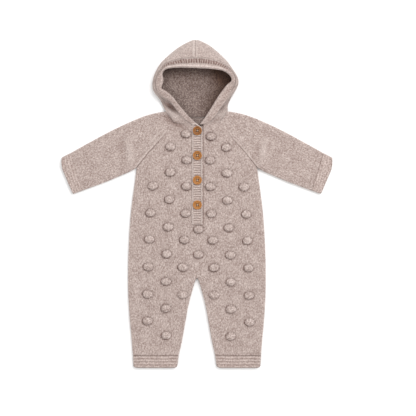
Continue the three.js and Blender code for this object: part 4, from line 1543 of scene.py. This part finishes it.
class ROMPER_OT_hood_bands(bpy.types.Operator):
    """Model the ribbed band round the hood's face opening"""

    bl_idname = "romper.hood_bands"
    bl_label = "Hood bands"

    def execute(self, context):
        rise = context.scene.romper_sizes.rib_rise / MM
        for name, side, stations in (("hood_band_right", 1, HOOD_RIGHT), ("hood_band_left", -1, HOOD_LEFT)):
            grid = hood_grid(stations, side)
            sewn_edge = smooth([(i / (len(grid) - 1), row[0]) for i, row in enumerate(grid)])
            free_edge = smooth([
                (i / (len(stations) - 1), Vector((s.edge_x, s.edge_y, h.edge)))
                for i, (s, h) in enumerate(zip(stations, HOOD_HEIGHTS))
            ])
            length = sum((b[0] - a[0]).length for a, b in zip(grid, grid[1:]))
            rows = round(length / BAND_STEP)
            walk = [0.0]
            for i in range(rows):
                walk.append(walk[-1] + (sewn_edge((i + 1) / rows) - sewn_edge(i / rows)).length)

            def edges(i):
                sewn, free = sewn_edge(i / rows), free_edge(i / rows)
                sewn = sewn + (free - sewn).normalized() * SEAM
                ahead, behind = free_edge(min(i / rows + 0.01, 1)), free_edge(max(i / rows - 0.01, 0))
                up = (free - sewn).cross(ahead - behind).normalized()
                if up.z < 0:
                    up = -up
                return sewn, free, up

            def ribs(i, across, share):
                clear = mix(0.25, 1.0, ease((walk[i] / length - 0.55) / 0.15))
                turn = (length - walk[i]) / HOOD_RIB + 0.5 + 0.32 * wander(walk[i] / 9, share * 3, side)
                start, end = BAND_LINES["ribs"]
                ribbed = clamp((share - start) / 0.08) * clamp((end - share) / 0.08) * clear
                slot = rib_slot(turn, 0.36) * ribbed
                crown = BAND_CROWN * math.sin(share * math.pi)
                rim = groove(share - BAND_LINES["rim"], 0.13)
                furrow = groove(share - BAND_LINES["furrow"], 0.06)
                # Painted highlight along the rim and on the ribs, and painted shade in the slots and the
                # furrow
                rim_highlight = 0.35 + 0.45 * wander(walk[i] / 3.5, share * 4, side + 4)
                light = clear * (max(rim_highlight, 0) * rim + 0.15 * (1 - slot))
                blot = 1.3 + 0.9 * wander(walk[i] / 4, share * 3, side + 9)
                high = rise * (1 - 3.4 * slot) + crown + 0.9 * rim - 0.4 * furrow
                return high, max(blot * slot, 0.35 * furrow), light

            bm = band_cloth(rows, edges, ribs)
            made = piece(bm, name + "_cloth", finish("rib_knit"), [name])
        return {"FINISHED"}


# Buttons

def button_blank():
    """A turned button with its four holes."""
    profile = [(radius * MM, height * MM) for radius, height in BUTTON_PROFILE]
    blank = make_object("blank", turned(profile, BUTTON_SIDES, 1e-6))
    drills = bmesh.new()
    radius = HOLE["radius"] * MM
    for x in (-0.5, 0.5):
        for y in (-0.5, 0.5):
            place = (x * HOLE["spacing"] * MM, y * HOLE["spacing"] * MM, HOLE["middle_z"] * MM)
            bmesh.ops.create_cone(
                drills, cap_ends=True, segments=HOLE["sides"], radius1=radius, radius2=radius,
                depth=HOLE["depth"] * MM, matrix=Matrix.Translation(place),
            )
    cutter = make_object("drills", drills)
    cut = blank.modifiers.new("holes", "BOOLEAN")
    cut.operation = "DIFFERENCE"
    cut.solver = "EXACT"
    cut.object = cutter
    ready = blank.evaluated_get(bpy.context.evaluated_depsgraph_get())
    mesh = bpy.data.meshes.new_from_object(ready)
    for made in (blank, cutter):
        bpy.data.meshes.remove(made.data)
    return mesh


def paint_button_shade(bm, tone):
    """Marks painted shade on the button's dish, on the step and the edge under its rim, and in its holes.
    tone is the painted shade that the whole button has."""
    hollow = bm.verts.layers.float.new("hollow")
    for vert in bm.verts:
        radius, height = math.hypot(*plan(vert)), vert.co.z / MM
        step = 0.7 * groove(radius - DISH["step"], 0.9)
        rim = 0.6 * ease((radius - DISH["rim"]) / 0.7)
        on_floor = radius < DISH["floor"]
        in_hole = on_floor and height < DISH["floor_z"]
        vert[hollow] = 0.95 if in_hole else clamp(max(step, rim, 0.3 * on_floor) + tone)


def thread_cross():
    """The sewing thread: two strands along each diagonal of the holes."""
    bm = bmesh.new()
    reach = math.hypot(HOLE["spacing"], HOLE["spacing"]) / 2
    arc, radius = THREAD["arc"], THREAD["radius"]
    half = math.asin(reach / arc)
    upright = Matrix.Translation((0, 0, arc)) @ Matrix.Rotation(QUARTER, 4, "Y")
    for diagonal, height in ((1, 0.0), (-1, THREAD["cross"])):
        for strand in (-1, 1):
            start = len(bm.verts)
            ring = bmesh.ops.create_circle(bm, segments=THREAD["sides"], radius=radius, cap_ends=True)
            geom = ring["verts"][:]
            faces = list({face for vert in geom for face in vert.link_faces})
            edges = list({edge for face in faces for edge in face.edges})
            bmesh.ops.transform(bm, verts=geom, matrix=Matrix.Rotation(-half, 4, "Y") @ upright)
            bmesh.ops.spin(
                bm, geom=faces + edges + geom, cent=(0, 0, 0), axis=(0, 1, 0),
                angle=2 * half, steps=THREAD["steps"], use_merge=False,
            )
            bm.verts.ensure_lookup_table()
            up = THREAD["top"] - arc * math.cos(half) + height
            seat = Matrix.Translation((0, strand * radius * THREAD["apart"], up))
            turn = Matrix.Rotation(diagonal * QUARTER / 2, 4, "Z")
            bmesh.ops.transform(bm, verts=bm.verts[start:], matrix=turn @ seat)
    bmesh.ops.recalc_face_normals(bm, faces=bm.faces)
    # Painted shade towards the thread's ends, where they go down into the holes
    hollow = bm.verts.layers.float.new("hollow")
    for vert in bm.verts:
        vert[hollow] = ease((math.hypot(vert.co.x, vert.co.y) - 1.1) / 0.6)
    bm.transform(Matrix.Scale(MM, 4))
    return bm


class ROMPER_OT_buttons(bpy.types.Operator):
    """Model the four wooden buttons and the thread that holds them"""

    bl_idname = "romper.buttons"
    bl_label = "Buttons"

    def execute(self, context):
        blank = button_blank()
        dice = random.Random(3)
        for number, tone in enumerate(BUTTON_PAINTED_SHADES):
            y = BUTTONS["top_y"] - number * BUTTONS["pitch"]
            turn = Matrix.Rotation(dice.uniform(-0.35, 0.35), 4, "Z")
            seat = Matrix.Translation((BUTTONS["x"] * MM, y * MM, BUTTONS["base"] * MM)) @ turn
            name = f"button_{number + 1}"
            bm = bmesh.new()
            bm.from_mesh(blank)
            paint_button_shade(bm, tone)
            bm.transform(seat)
            piece(bm, name + "_wood", finish("honey_wood"), [name], sharp=40)
            bm = thread_cross()
            bm.transform(seat)
            piece(bm, name + "_thread", finish("pale_thread"), [], sharp=80)
        return {"FINISHED"}


# Stage

class ROMPER_OT_stage(bpy.types.Operator):
    """Add the pale floor, the soft light and the camera that looks straight down"""

    bl_idname = "romper.stage"
    bl_label = "Stage"

    def execute(self, context):
        scene = context.scene
        bm = bmesh.new()
        bmesh.ops.create_grid(bm, x_segments=1, y_segments=1, size=FLOOR["size"])
        bmesh.ops.translate(bm, verts=bm.verts, vec=(0, 0, FLOOR["z"]))
        floor = make_object("floor", bm)
        material, tree, shader = new_material("floor", 0.9, 0.1)
        place = tree.nodes.new("ShaderNodeTexCoord").outputs["Object"]
        tone = add_noise(tree, place, 3, 1.0)
        pale = scene.romper_colours.floor
        colour = add_mix(tree, tone, (*pale, 1), (*(0.985 * c for c in pale), 1))
        tree.links.new(colour, shader.inputs["Base Color"])
        floor.data.materials.append(material)

        world = bpy.data.worlds.new("studio")
        world.use_nodes = True
        sky = world.node_tree.nodes["Background"]
        sky.inputs["Color"].default_value = WORLD["colour"]
        sky.inputs["Strength"].default_value = WORLD["strength"]
        scene.world = world
        for row in LAMPS:
            light = bpy.data.lights.new(row.name, "AREA")
            light.shape = "DISK"
            light.size = row.size
            light.energy = row.energy
            lamp = bpy.data.objects.new(row.name, light)
            lamp.location = row.place
            lamp.rotation_euler = (-Vector(row.place)).to_track_quat("-Z", "Y").to_euler()
            scene.collection.objects.link(lamp)

        camera = bpy.data.cameras.new("camera")
        camera.lens = CAMERA["lens"]
        camera.sensor_width = CAMERA["sensor"]
        viewer = bpy.data.objects.new("camera", camera)
        viewer.location = CAMERA["place"]
        scene.collection.objects.link(viewer)
        scene.camera = viewer
        scene.view_settings.view_transform = "Standard"
        return {"FINISHED"}


# Settings, panel and run

def length(name, description, default, low=0.0, high=0.003):
    return FloatProperty(
        name=name, description=description, default=default, min=low, max=high, precision=4, unit="LENGTH"
    )


class RomperSizes(bpy.types.PropertyGroup):
    stitch_width: length("Stitch width", "Width of one knit stitch", 0.0026, 0.001, 0.01)
    stitch_height: length("Stitch height", "Height of one knit stitch", 0.0020, 0.001, 0.01)
    seam_depth: length("Seam depth", "How far the cloth dips at a seam", 0.0014)
    bobble_height: length("Bobble height", "How far a bobble stands out", 0.00565, 0.001, 0.01)
    rib_rise: length("Rib rise", "How far the ribs of the bands stand out", 0.0005)
    ridge_rise: length("Ridge rise", "How far the garter ridges of the cuffs stand out", 0.0011)
    crease_share: FloatProperty(
        name="Creases", description="Strength of the soft creases, where 1 is as laid out",
        default=1.0, min=0.0, max=1.5, subtype="FACTOR",
    )


def colour(name, description, default):
    return FloatVectorProperty(
        name=name, description=description, default=default, subtype="COLOR", min=0, max=1
    )


class RomperColours(bpy.types.PropertyGroup):
    yarn: colour("Yarn", "Main colour of the heathered yarn", (0.48, 0.375, 0.34))
    fleck_light: colour("Light flecks", "Pale fibres in the yarn", (0.80, 0.69, 0.645))
    fleck_dark: colour("Dark flecks", "Dark fibres in the yarn", (0.25, 0.17, 0.15))
    # The next three colours are painted light: shade on the hood's inner side, shade in grooves and seams,
    # and the highlight on raised edges
    inside: colour("Inside", "Tint of the hood's inner side", (0.155, 0.085, 0.055))
    hollow: colour("Hollows", "Tint of the yarn in grooves and seams", (0.43, 0.33, 0.3))
    raised: colour("Raised edges", "Colour of the fuzz on raised edges", (0.78, 0.68, 0.635))
    wood_light: colour("Light wood", "Pale grain of the buttons", (0.68, 0.3, 0.075))
    wood_dark: colour("Dark wood", "Dark grain of the buttons", (0.27, 0.095, 0.02))
    thread: colour("Thread", "Thread that holds the buttons", (0.66, 0.61, 0.54))
    floor: colour("Floor", "Pale surface that the romper lies on", (0.93, 0.93, 0.93))


PIECE_OPERATORS = (
    ROMPER_OT_back,
    ROMPER_OT_front,
    ROMPER_OT_bobbles,
    ROMPER_OT_sleeves,
    ROMPER_OT_sleeve_cuffs,
    ROMPER_OT_leg_cuffs,
    ROMPER_OT_placket,
    ROMPER_OT_hood,
    ROMPER_OT_hood_bands,
    ROMPER_OT_buttons,
    ROMPER_OT_stage,
)


class ROMPER_PT_panel(bpy.types.Panel):
    """Lists the romper's sizes, colours and pieces"""

    bl_idname = "ROMPER_PT_panel"
    bl_label = "Knitted Baby Romper"
    bl_space_type = "VIEW_3D"
    bl_region_type = "UI"
    bl_category = "Romper"

    def draw(self, context):
        for settings in (context.scene.romper_sizes, context.scene.romper_colours):
            box = self.layout.box()
            for name in settings.__annotations__:
                box.prop(settings, name)
        for operator in PIECE_OPERATORS:
            self.layout.operator(operator.bl_idname)


CLASSES = (RomperSizes, RomperColours, *PIECE_OPERATORS, ROMPER_PT_panel)


def register():
    for cls in CLASSES:
        bpy.utils.register_class(cls)
    bpy.types.Scene.romper_sizes = PointerProperty(type=RomperSizes)
    bpy.types.Scene.romper_colours = PointerProperty(type=RomperColours)


def unregister():
    del bpy.types.Scene.romper_colours
    del bpy.types.Scene.romper_sizes
    for cls in reversed(CLASSES):
        bpy.utils.unregister_class(cls)


def main():
    register()
    for operator in PIECE_OPERATORS:
        group, name = operator.bl_idname.split(".")
        getattr(getattr(bpy.ops, group), name)()


if __name__ == "__main__":
    main()
